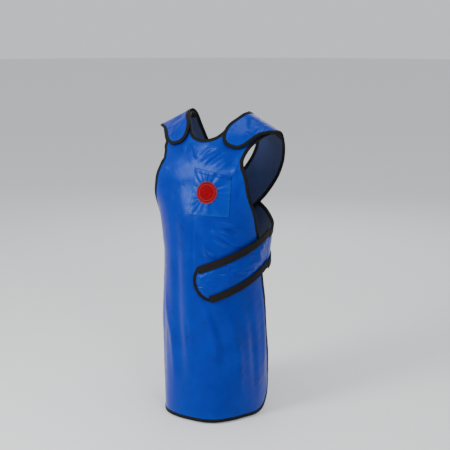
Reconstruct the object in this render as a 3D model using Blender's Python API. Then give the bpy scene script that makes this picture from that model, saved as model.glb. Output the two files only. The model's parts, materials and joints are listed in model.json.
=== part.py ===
"""Frontal lead apron with shoulder flaps, crossed back straps and a waist closure flap.

Metres, +Z up.  The apron faces -Y and +X is the wearer's left.  Height zero is where
the apron rests on the shoulders beside the neck.

Every panel is a flat pattern piece laid on one body form.  A pattern point is
(s, v): s runs round the body from the centre line, positive to the wearer's left, and
v runs up the cloth from the chest line.  There is one chart from the front centre and
one from the back centre.  Layers of one panel share the same pattern mesh and differ
only in how far they stand off the form.
"""
import bpy
import bmesh
import numpy as np
from mathutils import Vector
from mathutils.geometry import delaunay_2d_cdt

# ---------------------------------------------------------------- driving sizes
CHEST_Z = -0.20                 # chest line: the shoulders close over above it
HEM_Z = -0.914                  # 36 in from shoulder to hem
HALF_WIDTH = 0.305              # 24 in across at the hem
HEM_CORNER = 0.085              # radius of the bottom corners
SECTIONS = (                    # height, half width, front depth, back depth, centre y
    (-0.93, 0.150, 0.200, 0.085, 0.036),
    (-0.62, 0.158, 0.180, 0.100, 0.022),
    (-0.43, 0.150, 0.165, 0.095, 0.015),
    (-0.29, 0.168, 0.146, 0.105, 0.006),
    (-0.20, 0.235, 0.118, 0.108, 0.004),
    (0.10, 0.235, 0.118, 0.108, 0.004),
)
ROUNDNESS = 2.25                # plan sections are superellipses
DOME = 1.65                     # the same for the profile over the shoulder
LEAN = 0.12                     # the chest leans back above the chest line
SHOULDER_SLOPE = 0.55
NECK_X = 0.085
SAMPLES = 241
CREST_SOFT = 24                 # smoothing of the shoulder profile, in samples

GAP = 0.0004                    # air between stacked layers
TAPE_GAP = 0.0014               # air inside a folded binding
CLOTH = 0.0005                  # coated nylon
CORE = 0.0011                   # one sheet of lead vinyl
PAD = 0.0010                    # foam in a shoulder flap
WEB = 0.0006                    # binding tape
BINDING = 0.009                 # width of each leg of the binding
SEAM = 0.011                    # the lead stops this far from the edge
ELASTIC = 0.0012
BAND = 0.020                    # width of an elastic band

LINING_AT = 0.0
INNER_CORE_AT = 0.0009
OUTER_CORE_AT = 0.0024
COVER_AT = 0.0039
PANEL_TOP = COVER_AT + CLOTH
LOOP_AT = PANEL_TOP + 0.0012
LOOP = 0.0007
STRAP_AT = 0.0101               # straps and flaps lie over the bindings of the front
HOOK = 0.0008
HOOK_AT = STRAP_AT - HOOK - 0.0009
STRAP_COVER_AT = STRAP_AT + 0.0010
FLAP_PAD_AT = STRAP_AT + 0.0009
FLAP_COVER_AT = STRAP_AT + 0.0023
BAND_AT = STRAP_COVER_AT + CLOTH + TAPE_GAP + WEB + 0.0009
CROSSING = 0.0064               # extra height where the outer strap passes over
STRAP_HALF = 0.0555             # half width of straps and waist flap

SHOULDER_IN = 0.092             # shoulder piece from neck side ...
SHOULDER_OUT = 0.190            # ... to arm side, at the crest
SHOULDER_TAIL = 0.030           # front panel runs this far over the crest
HINGE_GAP = 0.0006
CREST_BAND = 0.032              # the mesh is closer this near the top of the shoulder
CREST_GRID = (0.018, 0.0105)
FLAP_SLOPE = 0.4245             # rise of the waist flap towards the side
FLAP_TIP = (0.0126, -0.306)
FLAP_SIDE = -0.210              # height of its centre line at the side

POCKET = ((-0.010, 0.040), (0.105, 0.022), (0.105, -0.094), (-0.014, -0.092))
POCKET_BULGE = 0.0110
BADGE = (0.036, -0.028)
BADGE_RADIUS = 0.031


# ---------------------------------------------------------------- the body form
def blended(z, column):
    """Section value at height z, smoothed over +-50 mm."""
    heights = np.array([row[0] for row in SECTIONS])
    values = np.array([row[column] for row in SECTIONS])
    total = 0.0
    weight = 0.0
    for k in np.linspace(-1, 1, 9):
        w = 1 - 0.9 * abs(k)
        total = total + w * np.interp(np.asarray(z) + 0.05 * k, heights, values)
        weight += w
    return total / weight


def power(base, exponent):
    return np.sign(base) * np.abs(base) ** exponent


def crest_height(x):
    return -SHOULDER_SLOPE * (np.sqrt(x * x + 0.02 ** 2) - NECK_X)


def softener():
    """Gaussian smoothing along the profile that leaves its two ends alone."""
    i = np.arange(SAMPLES)
    spread = np.minimum(CREST_SOFT, np.minimum(i, SAMPLES - 1 - i) / 3) + 1e-3
    weight = np.exp(-0.5 * ((i[:, None] - i[None, :]) / spread[None, :]) ** 2)
    return weight / weight.sum(0)


SOFTEN = softener()


def profile(x):
    """Front-to-back outline over the shoulder at lateral positions x, crest softened."""
    a, bf, bb, yc = (float(blended(CHEST_Z, c)) for c in (1, 2, 3, 4))
    angle = np.linspace(0, np.pi, SAMPLES)[None, :]
    cos, sin = np.cos(angle), np.sin(angle)
    k = (1 - np.abs(x / a) ** ROUNDNESS) ** (1 / ROUNDNESS)
    depth = np.where(cos >= 0, bf, bb) * k[:, None]
    rise = crest_height(x) - CHEST_Z
    Z = CHEST_Z + rise[:, None] * np.abs(sin) ** (2 / DOME)
    Y = yc - depth * power(cos, 2 / DOME) + LEAN * (Z - CHEST_Z)
    return Y @ SOFTEN, Z @ SOFTEN


def walk(distance, X, Y):
    """Point at an arc length along each row of polylines."""
    step = np.hypot(np.diff(X, axis=1), np.diff(Y, axis=1))
    length = np.concatenate([np.zeros((len(X), 1)), np.cumsum(step, axis=1)], axis=1)
    i = np.clip((length <= distance[:, None]).sum(1) - 1, 0, X.shape[1] - 2)
    row = np.arange(len(X))
    part = length[row, i + 1] - length[row, i]
    f = np.clip((distance - length[row, i]) / np.maximum(part, 1e-12), 0, 1)
    x = X[row, i] + f * (X[row, i + 1] - X[row, i])
    y = Y[row, i] + f * (Y[row, i + 1] - Y[row, i])
    return x, y


def place(s, v, back=False):
    """Pattern point to the surface of the form."""
    s = np.asarray(s, float)
    v = np.asarray(v, float)
    z = CHEST_Z + np.minimum(v, 0)
    angle = np.linspace(0, np.pi, SAMPLES)[None, :]
    if back:
        angle = np.pi - angle
    half, front, rear, mid = (blended(z[:, None], c) for c in (1, 2, 3, 4))
    cos, sin = np.cos(angle), np.sin(angle)
    X = half * power(sin, 2 / ROUNDNESS)
    Y = mid - np.where(cos >= 0, front, rear) * power(cos, 2 / ROUNDNESS)
    x, y = walk(np.abs(s), X, Y)
    x = x * np.sign(s)
    up = v > 0
    if up.any():
        Y, Z = profile(x[up])
        if back:
            Y, Z = Y[:, ::-1], Z[:, ::-1]
        y[up], z[up] = walk(v[up], Y, Z)
    return np.stack([x, y, z], 1)


def outward(s, v, back=False):
    h = 1e-4
    across = place(s + h, v, back) - place(s - h, v, back)
    along = place(s, v + h, back) - place(s, v - h, back)
    n = np.cross(across, along)
    if back:
        n = -n
    return n / np.linalg.norm(n, axis=1)[:, None]


def crest(s, back=False):
    """Cloth distance from the chest line to the top of the shoulder."""
    s = np.atleast_1d(np.asarray(s, float))
    x = place(s, np.zeros(len(s)), back)[:, 0]
    Y, Z = profile(x)
    half = slice(SAMPLES // 2, None) if back else slice(None, SAMPLES // 2 + 1)
    return np.hypot(np.diff(Y[:, half], axis=1), np.diff(Z[:, half], axis=1)).sum(1)


def round_to(x, back=False):
    """How far round the chest line a given x lies."""
    s = np.linspace(0, 0.3, 601)
    return float(np.interp(x, place(s, np.zeros(601), back)[:, 0], s))


def side(v, back=False):
    """How far round the body its widest point lies, at height v."""
    z = np.atleast_1d(CHEST_Z + np.minimum(v, 0))
    t = np.linspace(0, np.pi / 2, SAMPLES)[None, :]
    X = blended(z, 1)[:, None] * np.sin(t) ** (2 / ROUNDNESS)
    Y = blended(z, 3 if back else 2)[:, None] * np.cos(t) ** (2 / ROUNDNESS)
    return np.hypot(np.diff(X, axis=1), np.diff(Y, axis=1)).sum(1)


# ---------------------------------------------------------------- pattern drafting
def resample(path, spacing):
    path = np.asarray(path, float)
    step = np.hypot(*np.diff(path, axis=0).T)
    length = np.concatenate([[0], np.cumsum(step)])
    count = max(2, int(round(length[-1] / spacing)) + 1)
    at = np.linspace(0, length[-1], count)
    return np.stack([np.interp(at, length, path[:, i]) for i in (0, 1)], 1)


def curve(points, spacing):
    """Smooth line through the given points at an even spacing."""
    p = np.array(points, float)
    p = np.vstack([2 * p[0] - p[1], p, 2 * p[-1] - p[-2]])
    out = []
    t = np.linspace(0, 1, 24, endpoint=False)[:, None]
    for i in range(1, len(p) - 2):
        a, b, c, d = p[i - 1:i + 3]
        square = (2 * a - 5 * b + 4 * c - d) * t ** 2
        cube = (3 * b - a - 3 * c + d) * t ** 3
        out.append(0.5 * (2 * b + (c - a) * t + square + cube))
    out.append(p[-2][None])
    return resample(np.vstack(out), spacing)


def mirrored(path):
    """The same line on the other side, drawn the other way."""
    return (np.asarray(path) * (-1, 1))[::-1]


def join(*lines):
    """Closed outline from open lines that share their end points."""
    rows = []
    for line in lines:
        for p in line:
            if not rows or np.hypot(*(p - rows[-1])) > 1e-6:
                rows.append(np.asarray(p, float))
    if np.hypot(*(rows[0] - rows[-1])) < 1e-6:
        rows.pop()
    return np.array(rows)


def left_of(path, closed):
    """Unit offsets to the left of the line at every point, mitred."""
    if closed:
        ahead = np.roll(path, -1, 0) - path
        behind = path - np.roll(path, 1, 0)
    else:
        step = np.diff(path, axis=0)
        ahead = np.vstack([step, step[-1:]])
        behind = np.vstack([step[:1], step])
    ahead = ahead / np.hypot(*ahead.T)[:, None]
    behind = behind / np.hypot(*behind.T)[:, None]
    n = np.stack([-(ahead + behind)[:, 1], (ahead + behind)[:, 0]], 1)
    n = n / np.hypot(*n.T)[:, None]
    cosine = (n * np.stack([-ahead[:, 1], ahead[:, 0]], 1)).sum(1)
    return n / np.maximum(cosine, 0.6)[:, None]


def inside(points, outline):
    """Even-odd test of points against a closed outline."""
    x, y = points[:, 0][:, None], points[:, 1][:, None]
    x1, y1 = outline[:, 0][None], outline[:, 1][None]
    x2, y2 = np.roll(outline[:, 0], -1)[None], np.roll(outline[:, 1], -1)[None]
    span = (y1 > y) != (y2 > y)
    cut = x1 + (y - y1) * (x2 - x1) / np.where(y2 == y1, 1e-12, y2 - y1)
    return (span & (x < cut)).sum(1) % 2 == 1


def to_line(points, outline):
    """Distance of points from a closed outline."""
    a = outline[None]
    ab = np.roll(outline, -1, 0)[None] - a
    ap = points[:, None] - a
    t = np.clip((ap * ab).sum(2) / (ab * ab).sum(2), 0, 1)
    return np.hypot(*np.moveaxis(ap - t[..., None] * ab, 2, 0)).min(1)


def near_crest(points, back):
    """Where a pattern piece bends over the top of the shoulder."""
    return np.abs(points[:, 1] - crest(points[:, 0], back)) < CREST_BAND


def lattice(outline, grid, fine):
    """Rows of points over a piece; rows above the waist may sit closer."""
    low, high = outline.min(0), outline.max(0)
    rows = []
    v = low[1] + grid[1] / 2
    while v < high[1]:
        rows += [(s, v) for s in np.arange(low[0] + grid[0] / 2, high[0], grid[0])]
        v += fine if fine and v > -0.06 else grid[1]
    return np.array(rows)


def refined(path, back=False):
    """Closer points where a line passes over the shoulder."""
    path = np.asarray(path, float)
    for _ in (0, 1):
        mid = (path[1:] + path[:-1]) / 2
        long = np.hypot(*np.diff(path, axis=0).T) > 0.0095
        add = near_crest(mid, back) & long
        rows = [path[0]]
        for a, b, extra in zip(mid, path[1:], add):
            rows += [a, b] if extra else [b]
        path = np.array(rows)
    return path


class Pattern:
    """A flat piece: counter-clockwise outline, a seam line inside it, and its mesh."""

    def __init__(self, outline, grid, seam=SEAM, fine=0, back=False):
        seam_line = None
        if seam:
            seam_line = outline + left_of(outline, True) * seam
            seam_line = seam_line[to_line(seam_line, outline) > 0.92 * seam]
        inner = lattice(outline, grid, fine)
        tight = near_crest(inner, back)
        inner = np.vstack([inner[~tight], lattice(outline, CREST_GRID, 0)])
        inner = inner[(np.arange(len(inner)) < (~tight).sum()) | near_crest(inner, back)]
        edge = seam_line if seam else outline
        room = np.where(near_crest(inner, back), 0.4 * CREST_GRID[1], 0.42 * min(grid))
        keep = inside(inner, edge) & (to_line(inner, edge) > room)
        points = [outline] + ([seam_line] if seam else []) + [inner[keep]]
        loops, start = [], 0
        for line in points[:-1]:
            n = len(line)
            loops += [(start + i, start + (i + 1) % n) for i in range(n)]
            start += n
        flat = [Vector(p) for p in np.vstack(points)]
        found = delaunay_2d_cdt(flat, loops, [], 0, 1e-6)
        self.points = np.array([tuple(p) for p in found[0]])
        faces = np.array([tuple(f) for f in found[2]])
        corner = self.points[faces]
        a, b = corner[:, 1] - corner[:, 0], corner[:, 2] - corner[:, 0]
        area = np.abs(a[:, 0] * b[:, 1] - a[:, 1] * b[:, 0])
        self.faces = faces[inside(corner.mean(1), outline) & (area > 4e-7)]
        self.core = self.faces
        if seam:
            self.core = self.faces[inside(self.points[self.faces].mean(1), seam_line)]


# ---------------------------------------------------------------- solids
for old in list(bpy.data.objects):
    bpy.data.objects.remove(old, do_unlink=True)


def material(name, colour, rough, metallic=0.0, sheen=0.0):
    m = bpy.data.materials.new(name)
    m.use_nodes = True
    shader = m.node_tree.nodes["Principled BSDF"]
    shader.inputs["Base Color"].default_value = (*colour, 1)
    shader.inputs["Roughness"].default_value = rough
    shader.inputs["Metallic"].default_value = metallic
    shader.inputs["Sheen Weight"].default_value = sheen
    return m


BLUE = ("blue_nylon", (0.012, 0.075, 0.42), 0.32)
NAVY = ("lining_nylon", (0.010, 0.040, 0.20), 0.55)
LEAD = ("lead_vinyl", (0.11, 0.115, 0.12), 0.6, 0.15)
TAPE = ("black_binding", (0.012, 0.012, 0.014), 0.7, 0.0, 0.2)
ELASTIC_WEB = ("elastic_webbing", (0.022, 0.018, 0.016), 0.85, 0.0, 0.3)
LOOP_PILE = ("loop_pile", (0.015, 0.016, 0.02), 0.95, 0.0, 0.5)
HOOK_TAPE = ("hook_tape", (0.02, 0.02, 0.022), 0.5)
FOAM = ("foam_pad", (0.45, 0.44, 0.40), 0.95)
PATCH = ("badge_twill", (0.45, 0.02, 0.035), 0.75, 0.0, 0.2)


def finish(name, bm, look, parent):
    bmesh.ops.recalc_face_normals(bm, faces=bm.faces)
    mesh = bpy.data.meshes.new(name)
    bm.to_mesh(mesh)
    bm.free()
    mesh.materials.append(material(name + "_" + look[0], *look[1:]))
    body = bpy.data.objects.new(name, mesh)
    bpy.context.scene.collection.objects.link(body)
    if parent:
        body.parent = parent
        body.location = -parent.location
    return body


def at_crest(back):
    return lambda p: crest(p[:, 0], back) - HINGE_GAP - p[:, 1]


def at_side(back):
    return lambda p: side(p[:, 1], back) - HINGE_GAP - np.abs(p[:, 0])


def laid(points, stand_off, back, rise):
    """Pattern points in space, standing off the form."""
    s, v = points[:, 0], points[:, 1]
    extra = rise(points) if rise else 0.0
    high = np.asarray(stand_off + extra) * np.ones(len(s))
    return place(s, v, back) + outward(s, v, back) * high[:, None]


def sheet(name, pattern, at, thick, look, back=False, rise=None, core=False, parent=None):
    """One layer of a panel, thickened outwards."""
    faces = pattern.core if core else pattern.faces
    used = np.unique(faces)
    index = {old: new for new, old in enumerate(used)}
    where = laid(pattern.points[used], at, back, rise)
    bm = bmesh.new()
    made = [bm.verts.new(p) for p in where]
    for face in faces:
        order = [made[index[i]] for i in face]
        bm.faces.new(order[::-1] if back else order)
    mesh = bpy.data.meshes.new(name)
    bm.to_mesh(mesh)
    bm.free()
    mesh.materials.append(material(name + "_" + look[0], *look[1:]))
    body = bpy.data.objects.new(name, mesh)
    bpy.context.scene.collection.objects.link(body)
    shell = body.modifiers.new("thickness", "SOLIDIFY")
    shell.thickness = thick
    shell.offset = 1.0
    if parent:
        body.parent = parent
        body.location = -parent.location
    return body


def trimmed(path, start, end):
    """The line with its two ends cut back."""
    path = np.asarray(path, float)
    step = np.hypot(*np.diff(path, axis=0).T)
    length = np.concatenate([[0], np.cumsum(step)])
    total = length[-1]
    at = [start] + [d for d in length if start + 0.003 < d < total - end - 0.003]
    at.append(total - end)
    return np.stack([np.interp(at, length, path[:, i]) for i in (0, 1)], 1)


def slid(points, heading, on_cut):
    """Slide the points along one direction until they lie on a cut."""
    for _ in range(4):
        here = on_cut(points)
        slope = (on_cut(points + heading * 1e-3) - here) / 1e-3
        points = points - heading * (here / slope)[:, None]
    return points


def tape(name, path, low, high, look, back=False, rise=None, parent=None,
         width=BINDING, web=WEB, gap=TAPE_GAP, cuts=(None, None)):
    """Tape folded over an edge.  The cloth lies to the left of the line."""
    low, high = low - gap, high + gap
    out = -gap - web
    section = ((width, high + web), (out, high + web), (out, low - web),
               (width, low - web), (width, low), (-gap, low), (-gap, high), (width, high))
    turn = left_of(path, False)
    rings = []
    for e, d in section:
        line = path + turn * e
        for end, near, on_cut in ((0, 1, cuts[0]), (-1, -2, cuts[1])):
            if on_cut:
                way = path[end] - path[near]
                line[end] = slid(line[end][None], way / np.hypot(*way), on_cut)[0]
        rings.append(laid(line, d, back, rise))
    bm = bmesh.new()
    grid = [[bm.verts.new(ring[i]) for ring in rings] for i in range(len(path))]
    for here, there in zip(grid, grid[1:]):
        for k in range(8):
            j = (k + 1) % 8
            bm.faces.new((here[k], here[j], there[j], there[k]))
    for end in (grid[0], grid[-1]):
        for quad in ((0, 1, 6, 7), (1, 2, 5, 6), (2, 3, 4, 5)):
            bm.faces.new([end[k] for k in quad])
    return finish(name, bm, look, parent)


def rounded_box(centre, size, radius, turn=0.0, spacing=0.012):
    """Closed rounded rectangle, counter-clockwise."""
    w, h = size[0] / 2 - radius, size[1] / 2 - radius
    rows = []
    for k, (cx, cy) in enumerate(((w, h), (-w, h), (-w, -h), (w, -h))):
        for t in np.linspace(k * np.pi / 2, (k + 1) * np.pi / 2, 5):
            rows.append((cx + radius * np.cos(t), cy + radius * np.sin(t)))
    rows = np.array(rows)
    c, s = np.cos(turn), np.sin(turn)
    rows = rows @ np.array([[c, s], [-s, c]]) + centre
    closed = np.vstack([rows, rows[:1]])
    out = []
    for a, b in zip(closed, closed[1:]):
        n = max(1, int(np.hypot(*(b - a)) / spacing + 0.5))
        out += [a + (b - a) * i / n for i in range(n)]
    return np.array(out)


# ---------------------------------------------------------------- front panel
HEM_V = HEM_Z - CHEST_Z
neck_s = round_to(SHOULDER_IN)
arm_s = round_to(SHOULDER_OUT)
neck_top = float(crest(neck_s)[0])
arm_top = float(crest(arm_s)[0])

right_neck = mirrored([(0.0, 0.124), (0.033, 0.134), (0.052, 0.155), (0.064, 0.178),
                       (0.078, 0.205), (neck_s, neck_top),
                       (neck_s + 0.001, neck_top + SHOULDER_TAIL)])
neckline = curve(np.vstack([right_neck[:-1], right_neck[::-1] * (-1, 1)]), 0.020)[::-1]
left_edge = curve([(HALF_WIDTH, HEM_V + HEM_CORNER), (0.302, -0.600), (0.288, -0.530),
                   (0.266, -0.440), (0.252, -0.340), (0.228, -0.230), (0.205, -0.155),
                   (0.186, -0.095), (0.163, -0.040), (0.149, 0.015), (0.134, 0.050),
                   (0.130, 0.075), (0.142, 0.112), (0.163, 0.142), (0.184, 0.162),
                   (arm_s, arm_top), (arm_s + 0.001, arm_top + SHOULDER_TAIL)], 0.016)
straight = (left_edge[:, 1] < -0.12) & (np.arange(len(left_edge)) % 2 == 1)
left_edge = refined(left_edge[~straight])
neckline = refined(neckline)
turn = np.linspace(0, np.pi / 2, 7)
corner = np.stack([HALF_WIDTH - HEM_CORNER * (1 - np.cos(turn)),
                   HEM_V + HEM_CORNER * (1 - np.sin(turn))], 1)[::-1]
flat_hem = resample([(-HALF_WIDTH + HEM_CORNER, HEM_V), (HALF_WIDTH - HEM_CORNER, HEM_V)],
                    0.040)
left_end = resample([left_edge[-1], neckline[0]], 0.012)
left_side = join(corner, left_edge)
panel = Pattern(join(flat_hem, left_side, left_end, neckline, mirrored(left_end),
                     mirrored(left_side)), (0.036, 0.068), fine=0.026)

sheet("front_lining", panel, LINING_AT, CLOTH, NAVY)
sheet("front_lead_core_inner", panel, INNER_CORE_AT, CORE, LEAD, core=True)
sheet("front_lead_core_outer", panel, OUTER_CORE_AT, CORE, LEAD, core=True)
sheet("front_cover", panel, COVER_AT, CLOTH, BLUE)

around = dict(low=LINING_AT, high=PANEL_TOP, look=TAPE)
END = BINDING + TAPE_GAP + WEB + 0.0012


def square(where, sign):
    """Cut straight up the pattern at one end of a line."""
    return lambda p: (p[:, 0] - where) * sign


hem_end = HALF_WIDTH - HEM_CORNER
tape("neckline_binding", neckline, **around)
tape("hem_binding", flat_hem, cuts=(square(-hem_end + 0.0004, 1), square(hem_end - 0.0004, 1)),
     **around)
tape("left_side_binding", left_side, cuts=(square(hem_end + 0.0004, 1), None), **around)
tape("right_side_binding", mirrored(left_side),
     cuts=(None, square(-hem_end - 0.0004, 1)), **around)
cut_in, cut_out = neck_s + 0.005 + END, arm_s + 0.001 - END
short_end = trimmed(left_end, END, END + 0.006)
tape("left_shoulder_end_binding", short_end, cuts=(square(cut_out, 1), square(cut_in, 1)),
     **around)
tape("right_shoulder_end_binding", mirrored(short_end),
     cuts=(square(-cut_in, 1), square(-cut_out, 1)), **around)

# ---------------------------------------------------------------- chest pocket
pocket_top = resample([POCKET[1], POCKET[0]], 0.0165)
pocket_sides = [resample([a, b], 0.0165) for a, b in
                ((POCKET[0], POCKET[3]), (POCKET[3], POCKET[2]), (POCKET[2], POCKET[1]))]


def pocket_rise(points):
    """The pocket stands open at the top and lies flat along its sewn edges."""
    (x0, y0), (x1, _), (x2, y2), (x3, _) = POCKET
    across = np.clip((points[:, 0] - x0) / (x1 - x0), 0, 1)
    up = np.clip((points[:, 1] - y2) / (y0 - y2), 0, 1)
    return POCKET_BULGE * np.sin(np.pi * across) * np.sin(up * np.pi / 2)


pocket = Pattern(join(pocket_top, *pocket_sides), (0.0115, 0.0165), seam=0)
POCKET_AT = PANEL_TOP + 0.0014
pocket_solid = sheet("chest_pocket", pocket, POCKET_AT, 0.0008, BLUE, rise=pocket_rise)
tape("pocket_hem", pocket_top[1:-1], POCKET_AT, POCKET_AT + 0.0010, BLUE,
     rise=pocket_rise, width=0.013, web=0.0005)
ring = np.linspace(0, 2 * np.pi, 25)[:-1]
disc = np.stack([BADGE[0] + BADGE_RADIUS * np.cos(ring),
                 BADGE[1] + BADGE_RADIUS * np.sin(ring)], 1)
sheet("pocket_badge", Pattern(disc, (0.012, 0.012), seam=0), POCKET_AT + 0.0015, 0.0009,
      PATCH, rise=pocket_rise)

# ---------------------------------------------------------------- crossed back straps
back_in = round_to(SHOULDER_IN, True)
back_out = round_to(SHOULDER_OUT, True)
middle = (back_in + back_out) / 2
top = float(crest(middle, True)[0])
side_back = float(side(np.array([FLAP_SIDE]), True)[0])
to_side = np.array((side_back, FLAP_SIDE))
heading = np.array((1.0, -FLAP_SLOPE)) / np.hypot(1.0, FLAP_SLOPE)
RUN = ((-middle, top + 0.03), (-middle, top - 0.045), (-0.128, 0.060), (-0.078, -0.022),
       (0.0, -0.096), (0.095, -0.160))


def strap_line(beyond):
    """Centre line from the wearer's right shoulder round to the left side."""
    end = to_side + heading * beyond
    return curve(list(RUN) + [to_side, end], 0.017)


def strap_edges(line, half):
    """Upper and lower edge, stopping at the crest of the shoulder."""
    edges = []
    for way in (half, -half):
        edge = line + left_of(line, False) * way
        limit = crest(edge[:, 0], True) - HINGE_GAP
        below = edge[:, 1] < limit - 0.012
        first = int(np.argmax(below))
        a, b = edge[first - 1], edge[first]
        f = np.linspace(0, 1, 60)[:, None]
        probe = a + (b - a) * f
        hit = probe[:, 1] <= crest(probe[:, 0], True) - HINGE_GAP
        s = probe[int(np.argmax(hit)), 0]
        start = np.array((s, float(crest(s, True)[0]) - HINGE_GAP))
        edges.append(refined(np.vstack([start, edge[first:]]), True))
    return edges


def over(points):
    """The strap to the left waist rises over the other one at the centre back."""
    r = np.hypot(points[:, 0] / 0.95, (points[:, 1] + 0.096))
    t = np.clip((0.165 - r) / 0.062, 0, 1)
    return CROSSING * t * t * (3 - 2 * t)


def cut_at_side(edge, back=True):
    """End an edge on the hinge line at the wearer's side."""
    rows = []
    for a, b in zip(edge, edge[1:]):
        f = np.linspace(0, 1, 40)[:, None]
        probe = a + (b - a) * f
        past = probe[:, 0] >= side(probe[:, 1], back) - HINGE_GAP
        rows.append(a)
        if past.any():
            v = probe[int(np.argmax(past)), 1]
            rows.append(np.array((float(side(v, back)[0]) - HINGE_GAP, v)))
            break
    rows = np.array(rows)
    if np.hypot(*(rows[-1] - rows[-2])) < 0.011:
        rows = np.delete(rows, -2, 0)
    return rows


def side_line(start, end, back, gap=HINGE_GAP):
    """Vertical cut at the side, between two edge points."""
    v = np.linspace(start[1], end[1], 7)[1:-1]
    return np.stack([side(v, back) - gap, v], 1)


def shoulder_line(start, end, back, gap=HINGE_GAP):
    """Cut along the crest of the shoulder, between two edge points."""
    s = np.linspace(start[0], end[0], 7)[1:-1]
    return np.stack([s, crest(s, back) - gap], 1)


strap_low, strap_high = STRAP_AT, STRAP_COVER_AT + CLOTH


def strap(name, upper, lower, bottom, flip, rise, at_bottom):
    """Cover, lining and two edge bindings.  Flip puts it on the other side."""
    outline = join(lower, bottom, upper[::-1], shoulder_line(upper[0], lower[0], True))
    if flip:
        outline = mirrored(outline)
    piece = Pattern(outline, (0.026, 0.026), back=True)
    sheet(name + "_lining", piece, STRAP_AT, CLOTH, NAVY, back=True, rise=rise)
    sheet(name + "_cover", piece, STRAP_COVER_AT, CLOTH, BLUE, back=True, rise=rise)
    wrap = dict(low=strap_low, high=strap_high, look=TAPE, back=True, rise=rise)
    top_edge, low_edge = upper[::-1], lower
    if flip:
        top_edge, low_edge = mirrored(top_edge), mirrored(low_edge)
    high_cuts, low_cuts = (at_bottom, at_crest(True)), (at_crest(True), at_bottom)
    if flip:
        high_cuts, low_cuts = high_cuts[::-1], low_cuts[::-1]
    tape(name + "_upper_binding", top_edge, cuts=high_cuts, **wrap)
    tape(name + "_lower_binding", low_edge, cuts=low_cuts, **wrap)


upper, lower = strap_edges(strap_line(0.06), STRAP_HALF)
upper_cut, lower_cut = cut_at_side(upper), cut_at_side(lower)
strap("right_back_strap", upper_cut, lower_cut,
      side_line(lower_cut[-1], upper_cut[-1], True), False, over, at_side(True))
upper, lower = strap_edges(strap_line(0.030), STRAP_HALF)
strap("left_back_strap", upper, lower, resample([lower[-1], upper[-1]], 0.02), True, None, None)


def band_pattern(line, low, high, stop_at_side, start):
    """Outline of an elastic band between two distances from the centre line."""
    near = line + left_of(line, False) * low
    far = line + left_of(line, False) * high
    keep = line[:, 0] > start
    near, far = near[keep], far[keep]
    if stop_at_side:
        near, far = cut_at_side(near), cut_at_side(far)
    return near, far


back_line = strap_line(0.06)
for name, low, high in (("upper", STRAP_HALF - BAND, STRAP_HALF + 0.0008),
                        ("lower", -STRAP_HALF - 0.0008, BAND - STRAP_HALF)):
    near, far = band_pattern(back_line, low, high, True, 0.055)
    outline = join(near, side_line(near[-1], far[-1], True), far[::-1])
    sheet(name + "_elastic_back", Pattern(outline, (0.02, 0.02), seam=0), BAND_AT, ELASTIC,
          ELASTIC_WEB, back=True, rise=over)


# ---------------------------------------------------------------- joints
def pivot(name, where):
    empty = bpy.data.objects.new(name, None)
    empty.empty_display_size = 0.03
    empty.location = where
    bpy.context.scene.collection.objects.link(empty)
    bpy.context.view_layer.update()
    return empty


FLAP_TOP = FLAP_COVER_AT + CLOTH + TAPE_GAP + WEB
SHOULDER_AXIS_HIGH = FLAP_TOP + 0.0006
mid_x = (SHOULDER_IN + SHOULDER_OUT) / 2
mid_s = round_to(mid_x)
hinge = {}
for sign, which in ((1, "left"), (-1, "right")):
    s = np.array([mid_s * sign])
    at = laid(np.stack([s, crest(s)], 1), SHOULDER_AXIS_HIGH, False, None)[0]
    hinge[which] = pivot(which + "_shoulder_flap_hinge", at)
WAIST_AXIS_HIGH = BAND_AT + ELASTIC + 0.0006
v = FLAP_SIDE + np.array([0.060, -0.058])
at = laid(np.stack([side(v), v], 1), WAIST_AXIS_HIGH, False, None).mean(0)
hinge["waist"] = pivot("waist_flap_hinge", at)

# ---------------------------------------------------------------- shoulder flaps
flap_inner = curve([(neck_s, neck_top + 0.02), (neck_s, neck_top), (0.079, 0.205),
                    (0.063, 0.178), (0.056, 0.150), (0.058, 0.128), (0.070, 0.111),
                    (0.088, 0.103), (0.107, 0.101), (0.124, 0.110), (0.138, 0.126),
                    (0.154, 0.145), (0.171, 0.154), (0.185, 0.158), (arm_s - 0.003, 0.163),
                    (arm_s, arm_top + 0.02)], 0.0145)
first = np.array((neck_s, float(crest(neck_s)[0]) - HINGE_GAP))
last = np.array((arm_s, float(crest(arm_s)[0]) - HINGE_GAP))
low_enough = flap_inner[:, 1] < crest(flap_inner[:, 0]) - HINGE_GAP - 0.008
apart = np.hypot(*(flap_inner - last).T) > 0.0095
flap_inner = flap_inner[low_enough & apart]
flap_edge = refined(np.vstack([first, flap_inner, last]))
flap_cut = shoulder_line(last, first, False)
flap_outline = join(flap_edge, flap_cut)
grip = rounded_box((0.110, 0.158), (0.050, 0.044), 0.008, 0.30)

for sign, which in ((1, "left"), (-1, "right")):
    outline = flap_outline if sign > 0 else mirrored(flap_outline)
    edge = flap_edge if sign > 0 else mirrored(flap_edge)
    patch = grip if sign > 0 else mirrored(grip)
    name = which + "_shoulder_"
    piece = Pattern(outline, (0.017, 0.017))
    on = hinge[which]
    sheet(name + "flap_lining", piece, STRAP_AT, CLOTH, NAVY, parent=on)
    sheet(name + "flap_pad", piece, FLAP_PAD_AT, PAD, FOAM, core=True, parent=on)
    sheet(name + "flap_cover", piece, FLAP_COVER_AT, CLOTH, BLUE, parent=on)
    tape(name + "flap_binding", edge, STRAP_AT, FLAP_COVER_AT + CLOTH, TAPE, parent=on,
         cuts=(at_crest(False), at_crest(False)))
    small = Pattern(patch, (0.012, 0.012), seam=0)
    sheet(name + "hook_patch", small, HOOK_AT, HOOK, HOOK_TAPE, parent=on)
    sheet(name + "loop_patch", small, LOOP_AT, LOOP, LOOP_PILE)

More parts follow.
